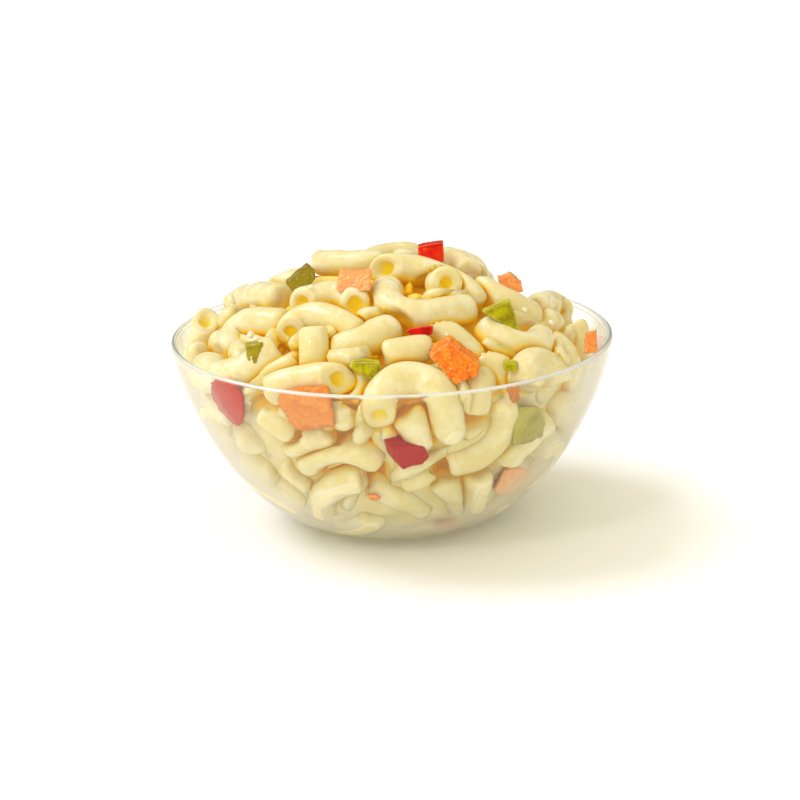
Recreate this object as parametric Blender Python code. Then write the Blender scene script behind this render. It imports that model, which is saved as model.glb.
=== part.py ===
"""Macaroni salad heaped in a clear glass bowl.

The bowl is turned. The salad is one heap: a core that follows the bowl, with
the macaroni that shows fused onto it. Every vegetable die that shows is a
piece of its own, set into the heap with a hair of clearance. Lengths are in
millimetres here and become metres as each mesh is made. The origin is at the
middle of the bowl's foot, +Z is up, and the front of the heap faces -Y.
"""

import math
import random

import bmesh
import bpy
import numpy as np
from mathutils import Vector
from mathutils.kdtree import KDTree

MM = 0.001

# Glass bowl
RIM_RADIUS = 71.0
RIM_HEIGHT = 61.5
FOOT_RADIUS = 22.0
WALL = 2.1
FLOOR = 4.0
SIDE_ROUNDNESS = 0.53
SIDE_STEEPNESS = 1.4
PROFILE_EASE = 1.5
PROFILE_POINTS = 300
SLOPE_REACH = 0.5
BOWL_SEGMENTS = 40
WALL_STEPS = 11
LIP_STEPS = 4
SHARP_ANGLE = math.radians(40.0)

# Heap of salad
HEAP_EDGE = 60.0
HEAP_CROWN = 30.0
HEAP_REACH = 67.0
CORE_INSET = 7.5
CORE_SEGMENTS = 28
CORE_SIDE_RINGS = 7
CORE_TOP_RINGS = 6
CORE_SHOULDER = 4.0
GAP = 0.35
BOWL_CLEARANCE = 0.65
FLAT_ANGLE = math.radians(1.0)
WELD_DISTANCE = 0.05

# Macaroni. A tube of few sides is drawn a little wider than the round one that
# it stands for. Tubes may cross one another by a share of their radii.
TUBE_SIDES = 6
TUBE_STEPS = 6
SIDE_SWELL = 1.04
HOLE_SHARE = 0.5
HOLE_DEPTH = 2.0
MOUTH_DEPTH = 3.0
MOUTH_LEAN = -0.35
MOUTH_CLEARANCE = 0.5
LINE_POINTS = 9
SPAN_POINTS = 12
CROWDING = 0.80
LAID_CROWDING = 0.71
MOST_PUSH = 4.0
PUSH_STEP = 0.5
RIM_EASE = 0.25
DEPTH_STEP = 0.4
SETTLING_ROUNDS = 6
SIDE_START = (0.3, 0.5, 0.81)

# The side that the heap shows best is seen from in front and a little above.
# Places there are (across, up, deep): across and up in a plane through the
# middle of the rim that faces the eye, deep behind the heap's surface.
EYE_TILT = math.radians(17.0)
EYE_DISTANCE = 800.0
EYE_AIM = np.array([2.2, 0.0, 38.6])
TOWARDS_EYE = np.array([0.0, -math.cos(EYE_TILT), math.sin(EYE_TILT)])
PLANE_UP = np.array([0.0, math.sin(EYE_TILT), math.cos(EYE_TILT)])
ACROSS = np.array([1.0, 0.0, 0.0])
EYE = EYE_AIM + TOWARDS_EYE * EYE_DISTANCE
RIM_MIDDLE = np.array([0.0, 0.0, RIM_HEIGHT])
SIGHT_REACH = 110.0
SIGHT_STEP = 0.4

# The heap's highest edge as the eye sees it, as (across, up), and the middle
# and half size of a gap under the topmost piece that can be seen through.
SKYLINE = ((-66, 0), (-63, 9), (-57, 10), (-54.5, 2), (-52.5, 8), (-46, 15), (-38, 16.5), (-25, 23.5),
           (-18, 26), (-8, 25), (3, 28.5), (14, 28), (24, 25), (31, 18), (36, 13.5), (43, 9.5), (50, 11.5),
           (56, 7.5), (61, 3), (64, -6))
PEEP_HOLE = (-19.5, 18.0)
PEEP_HOLE_HALF = (2.8, 1.8)

# Tube radius, then the places that the middle of the tube runs through. The
# pieces in front come first, and a later one gives way to those before it.
PLACED_MACARONI = {
    "front dome": (5.0, (-4.6, -27, 0), (-3.2, -18.5, 0), (6, -15, 0), (15, -19.5, 0), (18, -33, 0)),
    "front left": (4.7, (-40, -18.5, 2), (-29, -15, 0), (-16.8, -14.9, -1)),
    "front U": (5.2, (-58.3, -8.4, 0), (-48.5, -11.8, -1), (-37.4, -4.2, 0)),
    "left upright": (4.5, (-60.6, -11, 21), (-61.4, -3, 2), (-59.6, 5.2, -12)),
    "stump": (4.2, (-25.3, 0.8, -4), (-25.2, -5, 0), (-25.6, -12, 5)),
    "open arch": (4.6, (-32.8, -0.4, -1), (-30.6, 3.2, 0), (-25, 5.2, 0), (-17.5, 3.4, 0), (-10.5, -1.2, 2)),
    "centre diagonal": (4.8, (-19, -6.9, 1.5), (-9, -2.6, -1), (0.8, 1.2, 1)),
    "centre low": (4.3, (-2.8, -7.2, 0), (4, -6.2, 0), (12, -5.8, 2)),
    "left arch": (5.1, (-53, -8, 3), (-51, -1.2, 2), (-46.9, 2.8, 1), (-41, 3.8, 1), (-34, 2.6, 4)),
    "two ends": (4.8, (-29, 9.6, 0), (-20.3, 11.6, 4.5), (-11.6, 9.2, 0)),
    "left back": (5.5, (-51.4, 7.4, 1), (-46, 10.6, 1), (-40, 11.6, 2), (-34.5, 10.6, 5)),
    "ring end": (5.1, (17.8, 15.4, -3), (16.6, 14.8, 3), (13.2, 13.2, 10)),
    "top arch": (4.7, (-2, 20.4, -4), (4.5, 20.4, -1.5), (11, 18.8, 0), (19.5, 15.3, 1), (25.4, 10.6, 3),
                 (27.6, 6.8, 6)),
    "C ring": (4.9, (-0.6, 14.4, 4.5), (-1.6, 10.5, 1), (2.5, 6.6, 0), (10, 5.2, 0), (18, 6.2, 0),
               (25.2, 6.6, 1.5)),
    "top left": (3.9, (-21.5, 23, 1), (-12.5, 22.4, 0), (-2.5, 22.2, 2)),
    "top right": (4.2, (17.4, 23.4, 3), (22, 21.6, 1), (25.4, 18.4, 2)),
    "right long": (4.7, (28.3, 13.4, 2), (36.3, 8.6, 0), (45.6, 3.8, 2)),
    "right back": (4.3, (46.8, 6.8, 7), (49.8, 7.9, 5), (52.8, 7.2, 3), (54.9, 5.2, 0)),
    "right upright": (4.8, (58.2, 1.2, -8), (59, -5, 13), (58, -13, 21)),
    "right round": (5.2, (42.6, -18.5, 0), (47.3, -11.7, 0), (52.5, -17.5, 0)),
    "right U": (5.0, (30.3, 1, 2), (38.5, -5.2, -1), (46.8, -2.4, 0)),
    "right flat": (4.4, (36, 2.2, 6), (44, 2.8, 4), (52, 1, 5)),
    "behind carrot": (4.6, (12, 1.5, 4), (20, -3, 3), (27, -10, 5)),
    "right front": (4.7, (27, -11.5, 4), (34.5, -13.2, 1), (40, -17.5, 1)),
    "right hanging": (4.7, (29.5, -18.5, 8), (26.6, -20, 1), (25.6, -25.5, 0)),
    "behind green": (4.6, (-41, 11, 9), (-34, 15.2, 8), (-27, 16, 10)),
    "behind top": (4.6, (-8, 20.5, 8), (0, 23.8, 6), (9, 23.4, 7)),
    "top right behind": (4.2, (18, 22.4, 9), (22.5, 22, 9), (26, 20, 9), (27.4, 18, 9)),
    "under diagonal": (4.6, (-22, -4, 7), (-14, -12, 6), (-4, -13, 7)),
    "under front": (4.6, (-15, -21, 1), (-12, -18, 2), (-7, -13, 5)),
    "inside ring": (4.6, (3, 9, 12), (9, 13, 12), (15, 10, 12)),
    "left low behind": (4.6, (-56, -3, 8), (-46, -4, 8), (-36, -8, 8)),
    "under two ends": (4.6, (-34, 9, 8), (-25, 13, 9), (-13, 12, 9)),
    "right deep": (4.6, (50, -4, 6), (55, -9, 5), (53, -16, 6)),
    "hanging left": (5.0, (-15.6, -19, 3), (-15.8, -23, 1), (-14.9, -27.3, 0)),
    "wall blob left": (5.6, (-43.5, -32.2, 0), (-44.5, -31, 5), (-47, -29, 10)),
    "wall slant left": (4.4, (-41, -23.6, 0), (-37, -27.2, 0), (-31.5, -30.8, 1)),
    "wall below carrot": (4.5, (-32.6, -34.4, 0), (-27, -32.4, 0.5), (-20, -30.5, 2)),
    "wall arch": (4.7, (-27, -41.5, 0), (-17, -36.3, 0), (-5, -40.5, 0)),
    "wall C": (4.4, (-21.5, -55, 1), (-19.5, -48.3, 0), (-10, -45.8, 0)),
    "wall long": (4.2, (-8, -47.8, 0), (0, -51.2, 0), (9, -55.3, 0)),
    "wall blob low": (4.0, (-17.5, -58.6, 1), (-11.5, -59, 0), (-6, -56.6, 0)),
    "wall big right": (5.2, (34.9, -20, 0), (34.9, -27.5, 0), (31, -34.5, 0), (24, -39.4, 0), (16.8, -41, 1)),
    "wall right low": (4.8, (43.6, -37.4, 0), (43, -42.5, 0), (38, -46, 2)),
    "wall right patch": (4.4, (26.5, -45, 1), (26, -49.2, 0), (24, -53.6, 1)),
    "wall middle patch": (4.4, (13.5, -46.5, 0.5), (18, -50.6, 0), (18.5, -56.5, 1)),
    "wall middle": (4.2, (3.2, -47, 1), (7.4, -45.8, 0), (12, -44.6, 2)),
    "wall low front": (4.0, (1.5, -58.4, 1), (9, -58.8, 0), (16.5, -58, 1)),
    "wall left inner": (4.4, (-34.2, -40.4, 0), (-29.5, -43.6, 0), (-24.5, -48, 1.5)),
    "wall left long": (4.6, (-45, -42.5, 0), (-37, -47.5, 0), (-28.5, -53, 0)),
    "wall left top": (4.8, (-58.5, -24, 0), (-56, -31, 0), (-50, -38, 0)),
    "wall right top": (4.8, (51.5, -20, 0), (52, -27, 0), (51, -34, 0)),
    "wall centre": (5.4, (4, -25.5, 1), (6.5, -29, 0), (9.5, -34, 0)),
}

# The face that shows as (across, up) corners, how deep it lies, the thickness
# behind it, and how far (across, up) the back face is slid.
PLACED_DICE = {
    "carrot_left": (((-36.7, -19.4), (-36.6, -22), (-34, -26.6), (-31, -31), (-18.8, -29.6), (-20.6, -24),
                     (-20.8, -17), (-31, -17)), 0.6, 7, (0, 0)),
    "carrot_upper": (((-16.3, 18.8), (-6.2, 18.6), (-6.7, 13.2), (-17.3, 13)), 1, 7, (0, 2)),
    "carrot_back": (((34.3, 16.4), (38.5, 17.8), (42, 14.6), (42.3, 12.1), (36.5, 12)), 3, 6, (0, 1)),
    "carrot_edge": (((62.4, -1.6), (65.8, -0.8), (65.6, -7.5), (62, -8)), 0, 6, (0, 0)),
    "carrot_centre": (((12, -8.2), (18.5, -3.6), (28, -11.5), (27.3, -15.2), (19.8, -17.5)), -1.5, 7, (0, 3)),
    "carrot_low": (((31.1, -51), (34.6, -45), (37.6, -43.8), (44.6, -47.2), (40.6, -52.8), (34.2, -53.6)),
                   0.6, 6, (0, 1)),
    "carrot_rim": (((36.2, -18.5), (40.3, -18.5), (40, -22.6), (38.1, -23.4)), 3, 5, (0, 1)),
    "carrot_sliver": (((-9, -50.8), (-6, -51.2), (-4.4, -52.4), (-5, -53.2), (-8.6, -52.6)), 0.6, 3, (0, 0)),
    "red_pepper_deep": (((4.8, 0.8), (9, 1.6), (13.5, 2), (13.2, -1), (9, -1.6), (5, -0.8)), 4, 3, (0, 0)),
    "red_pepper_base": (((11.6, -61.2), (13.5, -61.9), (17, -61.4), (20.5, -60.6), (17, -60), (13, -60.5)),
                        0.6, 3, (0, 0)),
    "red_pepper_top": (((9, 27.3), (17.2, 28.6), (17.2, 22), (9.2, 23.4)), 2, 5, (0, 1)),
    "red_pepper_left": (((-58.6, -14.6), (-56.6, -20.5), (-53, -26), (-49, -29), (-47.3, -25.5),
                         (-47.5, -19.5), (-50.5, -15)), 0.4, 6, (0, 0)),
    "red_pepper_low": (((-0.8, -36.6), (9.6, -36), (11.4, -39.6), (9.2, -42.8), (2.8, -44.5), (0.2, -41)),
                       0.6, 5, (-3, 3.5)),
    "green_pepper_left": (((-47.2, -3.1), (-41.4, -2.6), (-42.6, -6.5), (-44, -9.6), (-46.8, -8.4)),
                          -1.5, 5, (0, 1)),
    "green_pepper_centre": (((-14, -11), (-13, -9.2), (-4, -9.6), (-3.4, -12), (-5, -15), (-8, -15.2)),
                            1, 5, (0, 1)),
    "green_pepper_upper": (((-34, 16.3), (-27, 22.3), (-24.4, 20), (-24.2, 17.3), (-27, 14.5), (-31.5, 13.2)),
                           1, 5, (0, 1)),
    "green_pepper_right": (((29, 6), (38.1, 9.4), (39.8, 5), (41, -1.6), (36.4, 1.8)), 0, 5, (0, 1)),
    "green_pepper_small": (((35.5, -10.2), (40.2, -10.8), (40, -14), (36, -13.6)), -0.5, 4, (0, 1)),
    "green_pepper_wall": (((38.8, -24.6), (45.8, -24.2), (48.2, -29.5), (47, -35.3), (37.6, -36.6),
                           (38.4, -29.5)), 0.6, 6, (0, 0)),
    "green_pepper_base": (((-15.8, -60.6), (-6, -60.2), (-5.4, -63.4), (-14.5, -63.8)), 0.6, 4, (0, 0)),
}
MOST_LEAN = 0.35

# Dice on the sides that the eye does not see: a name's start, its angle round
# the bowl in degrees, and its height above the table, or None on top.
HIDDEN_KINDS = ("carrot", "red_pepper", "green_pepper")
HIDDEN_ON_TOP = ((56, 57), (76, 52), (97, 46), (114, 56), (131, 45), (147, 57))
HIDDEN_ON_WALL = ((16, 50), (30, 27), (47, 49), (70, 18), (84, 44), (108, 28), (127, 52), (148, 20),
                  (160, 44), (172, 26))
HIDDEN_DIE_SIZE = (4.2, 6.0)
HIDDEN_DIE_THICKNESS = 5.5
HIDDEN_DIE_DEPTH = 1.5
HIDDEN_DIE_SKEW = 0.18
HIDDEN_DIE_HEADROOM = 3.0
HIDDEN_SEED = 11

# Macaroni laid by rule wherever there is room, in layers under one another:
# how deep the layer lies, how far it may wander and how many places are tried.
FILL_SEED = 7
FILL_LAYERS = ((0.0, 0.8, 900), (1.0, 2.5, 300))
FILL_TURNS = 14
TUBE_RADII = (4.3, 5.0)
BEND_RADII = (10.5, 13.0)
HALF_TURNS = (1.5, 1.15, 0.85, 0.6)
MOST_TIP = math.radians(60.0)
MOST_SHIFT = 8.0
MOST_PROUD = 0.6
TOP_SHARE = 0.42
WALL_SPREAD = 0.8
DIE_CLEARANCE = 3.0


def outer_radius(height):
    share = np.clip(height / RIM_HEIGHT, 0.0, 1.0)
    return FOOT_RADIUS + (RIM_RADIUS - FOOT_RADIUS) * (1 - (1 - share) ** SIDE_STEEPNESS) ** SIDE_ROUNDNESS


def inner_wall():
    """Radii and heights of the wall's inner face, from the floor to the rim."""
    heights = RIM_HEIGHT * np.linspace(0, 1, PROFILE_POINTS) ** PROFILE_EASE
    radii = outer_radius(heights)
    along_r = np.gradient(radii)
    along_z = np.gradient(heights)
    length = np.hypot(along_r, along_z)
    inner_r = radii - WALL * along_z / length
    inner_z = heights + WALL * along_r / length
    keep = inner_z > FLOOR
    return inner_r[keep], inner_z[keep]


WALL_RADII, WALL_HEIGHTS = inner_wall()


def inner_radius(height):
    return np.interp(height, WALL_HEIGHTS, WALL_RADII)


def heap_top(radius):
    return HEAP_EDGE + HEAP_CROWN * (1 - (radius / HEAP_REACH) ** 2)


def wall_slope(height):
    """How fast the bowl widens with its height, and 0 above the rim."""
    wider = inner_radius(height + SLOPE_REACH) - inner_radius(height - SLOPE_REACH)
    return np.where(height > RIM_HEIGHT, 0.0, wider / (2 * SLOPE_REACH))


def wall_room(points):
    """How far each point is from the bowl's inner face."""
    radius = np.hypot(points[..., 0], points[..., 1])
    height = points[..., 2]
    inside = (inner_radius(height) - radius) / np.sqrt(1 + wall_slope(height) ** 2)
    return np.where(height > RIM_HEIGHT, RIM_RADIUS - WALL - radius, inside)


def towards_wall(points):
    """The direction from each point straight at the bowl's inner face."""
    radius = np.hypot(points[:, 0], points[:, 1]) + 1e-9
    outward = np.stack([points[:, 0] / radius, points[:, 1] / radius, -wall_slope(points[:, 2])], -1)
    return outward / np.linalg.norm(outward, axis=1)[:, None]


def depth(points):
    """How deep each point lies in the space that the salad fills."""
    points = np.asarray(points, float)
    radius = np.hypot(points[..., 0], points[..., 1])
    fall = 2 * HEAP_CROWN * radius / HEAP_REACH ** 2
    below_top = (heap_top(radius) - points[..., 2]) / np.sqrt(1 + fall ** 2)
    return np.minimum(np.minimum(wall_room(points), below_top), points[..., 2] - FLOOR)


def seen(points):
    """Where the eye sees each point, as across and up in the plane."""
    rays = points - EYE
    reach = (RIM_MIDDLE - EYE) @ TOWARDS_EYE / (rays @ TOWARDS_EYE)
    offset = EYE + rays * reach[..., None] - RIM_MIDDLE
    return offset @ ACROSS, offset @ PLANE_UP


def headroom(points):
    """How far below the heap's skyline the eye sees each point."""
    across, up = seen(points)
    skyline = np.array(SKYLINE, float)
    return np.interp(across, skyline[:, 0], skyline[:, 1]) - up


def lying_depth(points):
    """The depth of each point, with the skyline as one more edge of the heap."""
    return np.minimum(depth(points), headroom(points))


def inward(points, measure):
    """The direction in which a measure of depth grows."""
    rise = [measure(points + DEPTH_STEP * axis) - measure(points - DEPTH_STEP * axis) for axis in np.eye(3)]
    rise = np.stack(rise, -1)
    return rise / (np.linalg.norm(rise, axis=-1)[..., None] + 1e-9)


def sight(across, up):
    """Where the eye's ray through a place crosses the plane, and its direction."""
    start = RIM_MIDDLE + across * ACROSS + up * PLANE_UP
    ray = start - EYE
    return start, ray / np.linalg.norm(ray)


def place(across, up, deep, radius):
    """The point where a ball of this radius first sinks under the heap's surface, then deep further on."""
    start, ray = sight(across, up)
    steps = np.arange(-SIGHT_REACH, SIGHT_REACH, SIGHT_STEP)
    points = start + steps[:, None] * ray
    depths = depth(points)
    under = np.nonzero(depths >= radius)[0]
    first = under[0] if len(under) else int(np.argmax(depths))
    return points[first] + deep * ray


def circle_through(first, second, third, count):
    """Points along the circle's arc from the first to the third point."""
    u = second - first
    v = third - first
    normal = np.cross(u, v)
    size = normal @ normal
    centre = first + (np.cross(normal, u) * (v @ v) + np.cross(v, normal) * (u @ u)) / (2 * size)
    x_axis = first - centre
    y_axis = np.cross(normal / math.sqrt(size), x_axis)
    spoke = third - centre
    turn = math.atan2(spoke @ y_axis, spoke @ x_axis) % (2 * math.pi)
    turns = np.linspace(0, turn, count)[:, None]
    return centre + np.cos(turns) * x_axis + np.sin(turns) * y_axis


def curve_through(points, count):
    """Evenly spaced points along a smooth curve through all of these."""
    padded = [2 * points[0] - points[1], *points, 2 * points[-1] - points[-2]]
    fine = []
    for span in range(len(points) - 1):
        p0, p1, p2, p3 = padded[span:span + 4]
        for t in np.linspace(0, 1, SPAN_POINTS, endpoint=span == len(points) - 2):
            bend = (2 * p0 - 5 * p1 + 4 * p2 - p3) * t ** 2 + (3 * p1 - p0 - 3 * p2 + p3) * t ** 3
            fine.append(0.5 * (2 * p1 + (p2 - p0) * t + bend))
    return resample(np.array(fine), count)


def resample(line, count):
    lengths = np.linalg.norm(np.diff(line, axis=0), axis=1)
    run = np.concatenate([[0.0], np.cumsum(lengths)])
    wanted = np.linspace(0, run[-1], count)
    return np.stack([np.interp(wanted, run, line[:, axis]) for axis in range(3)], -1)


def middle_line(points, count):
    if len(points) == 3:
        return circle_through(*points, count)
    return curve_through(points, count)


def bend_into_bowl(line, radius):
    """Move a tube's middle line inwards wherever the tube would pass through the wall or the floor."""
    line = line.copy()
    for _ in range(SETTLING_ROUNDS):
        over_rim = RIM_EASE * np.maximum(0.0, line[:, 2] - RIM_HEIGHT)
        short = np.maximum(0.0, radius - wall_room(line) - over_rim)
        line -= towards_wall(line) * short[:, None]
        line[:, 2] = np.maximum(line[:, 2], FLOOR + radius)
    return line


def closest(line, others):
    """The least gap between a line and others, which come as a list of (radius, line)."""
    gaps = [np.linalg.norm(line[:, None] - other[None], axis=2).min() - reach for reach, other in others]
    return min(gaps, default=math.inf)


def placed_macaroni():
    """The macaroni laid by hand, as (radius, middle line)."""
    tubes = []
    for radius, *places in PLACED_MACARONI.values():
        others = [(CROWDING * (radius + other), line) for other, line in tubes]
        push = 0.0
        while push <= MOST_PUSH:
            points = [place(a, b, d, radius) + push * sight(a, b)[1] for a, b, d in places]
            line = middle_line(points, LINE_POINTS)
            if closest(line, others) >= 0:
                break
            push += PUSH_STEP
        tubes.append((radius, bend_into_bowl(line, radius)))
    return tubes


def tree_of(tubes):
    tree = KDTree(sum(len(line) for _, line in tubes))
    reach = []
    for radius, line in tubes:
        for point in line:
            tree.insert(point, len(reach))
            reach.append(radius)
    tree.balance()
    return tree, reach


def crowded(line, radius, tree, reach):
    """Whether a tube along this line would cross the tubes in the tree by too much."""
    most = radius + max(reach)
    for point in line:
        for _, index, distance in tree.find_range(point, most):
            if distance < LAID_CROWDING * (radius + reach[index]):
                return True
    return False


def surface_spot(draw):
    """A point on the heap's surface, on top or against the wall, picked evenly by area."""
    angle = draw.uniform(0, 2 * math.pi)
    if draw.random() < TOP_SHARE:
        radius = HEAP_REACH * math.sqrt(draw.random())
        height = heap_top(radius)
    else:
        height = FLOOR + (HEAP_EDGE - FLOOR) * draw.random() ** WALL_SPREAD
        radius = float(inner_radius(height))
    return np.array([radius * math.cos(angle), radius * math.sin(angle), height])


def in_peep_hole(line, radius):
    across, up = seen(line)
    beside = np.abs(across - PEEP_HOLE[0]) - PEEP_HOLE_HALF[0]
    above = np.abs(up - PEEP_HOLE[1]) - PEEP_HOLE_HALF[1]
    return bool((np.maximum(beside, above) < radius).any())


def try_elbow(draw, spot, inset, radius, half_turn):
    """One bent tube with its middle near a spot, in a random direction, or None where it would stick out."""
    outward = -inward(spot, depth)
    middle = spot - outward * inset
    along = np.cross(outward, [draw.gauss(0, 1) for _ in range(3)])
    along /= np.linalg.norm(along)
    aside = np.cross(outward, along) * draw.choice((-1, 1))
    lean = MOST_TIP * draw.random() ** 2
    towards = aside * math.cos(lean) - outward * math.sin(lean)
    bend = draw.uniform(*BEND_RADII)
    turns = np.linspace(-half_turn, half_turn, LINE_POINTS)[:, None]
    line = middle + bend * (np.sin(turns) * along + (1 - np.cos(turns)) * towards)
    short = np.maximum(0.0, radius + inset - TUBE_RADII[1] - lying_depth(line))
    if short.max() > MOST_SHIFT:
        return None
    line = line + inward(line, lying_depth) * short[:, None]
    if lying_depth(line).min() < radius - MOST_PROUD or in_peep_hole(line, radius):
        return None
    return line


def laid_macaroni(tubes, dice_middles):
    """More macaroni wherever there is room, clear of the tubes and the dice, as (radius, middle line)."""
    draw = random.Random(FILL_SEED)
    tubes = list(tubes)
    start = len(tubes)
    tree, reach = tree_of(tubes)
    for inset, wander, spots in FILL_LAYERS:
        for _ in range(spots):
            radius = draw.uniform(*TUBE_RADII)
            spot = surface_spot(draw)
            deep = radius + inset + draw.random() * wander
            for turn in range(FILL_TURNS):
                half_turn = HALF_TURNS[turn * len(HALF_TURNS) // FILL_TURNS]
                line = try_elbow(draw, spot, deep, radius, half_turn)
                if line is None or crowded(line, radius, tree, reach):
                    continue
                if closest(line, [(radius + DIE_CLEARANCE, dice_middles)]) < 0:
                    continue
                tubes.append((radius, line))
                tree, reach = tree_of(tubes)
                break
    return tubes[start:]


def die_in_view(outline, deep, thickness, slide):
    """Corners of a die: the face that the eye sees, leaning like the heap's surface, and its back face."""
    middle = np.mean(outline, axis=0)
    centre = place(*middle, 0, GAP)
    _, ray = sight(*middle)
    spread = np.array([[a - middle[0], b - middle[1], 1] for a, b in outline])
    behind = [(place(a, b, 0, GAP) - centre) @ ray for a, b in outline]
    lean = np.clip(np.linalg.lstsq(spread, np.array(behind), rcond=None)[0], -MOST_LEAN, MOST_LEAN)
    corners = []
    for a, b in outline:
        start, corner_ray = sight(a, b)
        far = (centre - start) @ ray + lean[0] * (a - middle[0]) + lean[1] * (b - middle[1]) + deep
        corners.append(start + corner_ray * far / (corner_ray @ ray))
    back = [corner + ray * thickness + slide[0] * ACROSS + slide[1] * PLANE_UP for corner in corners]
    return np.array(corners + back)


def hidden_die(draw, angle, radius, height):
    """Corners of an uneven die sunk just under the heap's surface and its skyline."""
    spot = np.array([radius * math.cos(angle), radius * math.sin(angle), height])
    outward = -inward(spot, depth)
    too_high = max(0.0, HIDDEN_DIE_HEADROOM - float(headroom(spot)))
    spot = spot - too_high * PLANE_UP - HIDDEN_DIE_DEPTH * outward
    along = np.cross(outward, [draw.gauss(0, 1) for _ in range(3)])
    along /= np.linalg.norm(along)
    aside = np.cross(outward, along)
    face = []
    for corner in range(4):
        turn = math.pi / 2 * (corner + draw.uniform(-HIDDEN_DIE_SKEW, HIDDEN_DIE_SKEW))
        size = draw.uniform(*HIDDEN_DIE_SIZE)
        face.append(spot + size * (math.cos(turn) * along + math.sin(turn) * aside))
    back = [corner - outward * HIDDEN_DIE_THICKNESS for corner in face]
    return np.array(face + back)


def sink_into_bowl(points, gap):
    """Move points inwards until all are clear of the bowl's inner face by the gap."""
    points = np.array(points, float)
    for _ in range(SETTLING_ROUNDS):
        short = np.maximum(0.0, gap - wall_room(points))
        points -= towards_wall(points) * short[:, None]
        points[:, 2] = np.maximum(points[:, 2], FLOOR + gap)
    return points


def all_dice():
    """Every die's name and corners."""
    dice = {}
    for name, (outline, deep, thickness, slide) in PLACED_DICE.items():
        dice[name] = sink_into_bowl(die_in_view(outline, deep, thickness, slide), BOWL_CLEARANCE)
    draw = random.Random(HIDDEN_SEED)
    spots = [(angle, radius, float(heap_top(radius))) for angle, radius in HIDDEN_ON_TOP]
    spots += [(angle, float(inner_radius(height)), height) for angle, height in HIDDEN_ON_WALL]
    for number, (angle, radius, height) in enumerate(spots):
        kind = HIDDEN_KINDS[number % len(HIDDEN_KINDS)]
        corners = hidden_die(draw, math.radians(angle), radius, height)
        dice[f"{kind}_behind_{number + 1}"] = sink_into_bowl(corners, BOWL_CLEARANCE)
    return dice


def paint(name, colour, roughness, transmission=0.0):
    material = bpy.data.materials.new(name)
    material.use_nodes = True
    shader = material.node_tree.nodes["Principled BSDF"]
    shader.inputs["Base Color"].default_value = (*colour, 1.0)
    shader.inputs["Roughness"].default_value = roughness
    shader.inputs["Transmission Weight"].default_value = transmission
    return material


def add_object(name, bm, material, smooth_angle=None):
    """Turn a bmesh made in millimetres into a named object in metres."""
    bmesh.ops.recalc_face_normals(bm, faces=bm.faces)
    bmesh.ops.scale(bm, vec=(MM, MM, MM), verts=bm.verts)
    mesh = bpy.data.meshes.new(name)
    bm.to_mesh(mesh)
    bm.free()
    if smooth_angle:
        mesh.shade_smooth()
        mesh.set_sharp_from_angle(angle=smooth_angle)
    mesh.materials.append(material)
    piece = bpy.data.objects.new(name, mesh)
    bpy.context.scene.collection.objects.link(piece)
    return piece


def turned(profile, segments):
    """A closed turned body from (radius, height) points that start and end on the axis."""
    bm = bmesh.new()
    rings = []
    for radius, height in profile:
        if radius < 1e-6:
            rings.append([bm.verts.new((0, 0, height))])
            continue
        ring = []
        for step in range(segments):
            angle = 2 * math.pi * step / segments
            ring.append(bm.verts.new((radius * math.cos(angle), radius * math.sin(angle), height)))
        rings.append(ring)
    for lower, upper in zip(rings, rings[1:]):
        for step in range(segments):
            after = (step + 1) % segments
            corners = [lower[step % len(lower)], lower[after % len(lower)]]
            corners += [upper[after % len(upper)], upper[step % len(upper)]]
            bm.faces.new(list(dict.fromkeys(corners)))
    return bm


def build_bowl(glass):
    """The bowl: a flat foot, a flaring wall with a rounded lip, and a thick floor."""
    outside = []
    for step in range(WALL_STEPS):
        height = RIM_HEIGHT * (step / WALL_STEPS) ** PROFILE_EASE
        outside.append((float(outer_radius(height)), height))
    lip = []
    middle = RIM_RADIUS - WALL / 2
    for step in range(LIP_STEPS + 1):
        turn = math.pi * step / LIP_STEPS
        rise = RIM_HEIGHT - WALL / 2 + WALL / 2 * math.sin(turn)
        lip.append((middle + WALL / 2 * math.cos(turn), rise))
    lowest = float(WALL_HEIGHTS[0])
    inside = []
    for step in range(WALL_STEPS):
        height = lowest + (RIM_HEIGHT - WALL - lowest) * (1 - step / WALL_STEPS) ** PROFILE_EASE
        inside.append((float(inner_radius(height)), height))
    floor = [(float(WALL_RADII[0]), FLOOR), (0, FLOOR)]
    profile = [(0, 0), *outside, *lip, *inside, *floor]
    return add_object("glass_bowl", turned(profile, BOWL_SEGMENTS), glass, SHARP_ANGLE)


def core_mesh():
    """The heap's core: the space in the bowl and the dome above it, both drawn in."""
    heights = np.linspace(FLOOR + CORE_INSET, HEAP_EDGE - CORE_SHOULDER / 2, CORE_SIDE_RINGS)
    side = [(float(inner_radius(height)) - CORE_INSET, float(height)) for height in heights]
    radii = np.linspace(HEAP_REACH - CORE_INSET - CORE_SHOULDER, 0, CORE_TOP_RINGS)
    top = [(float(radius), float(heap_top(radius)) - CORE_INSET) for radius in radii]
    floor = [(0, FLOOR + GAP), (float(WALL_RADII[0]) - BOWL_CLEARANCE, FLOOR + GAP)]
    return turned([*floor, *side, *top], CORE_SEGMENTS)


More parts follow.
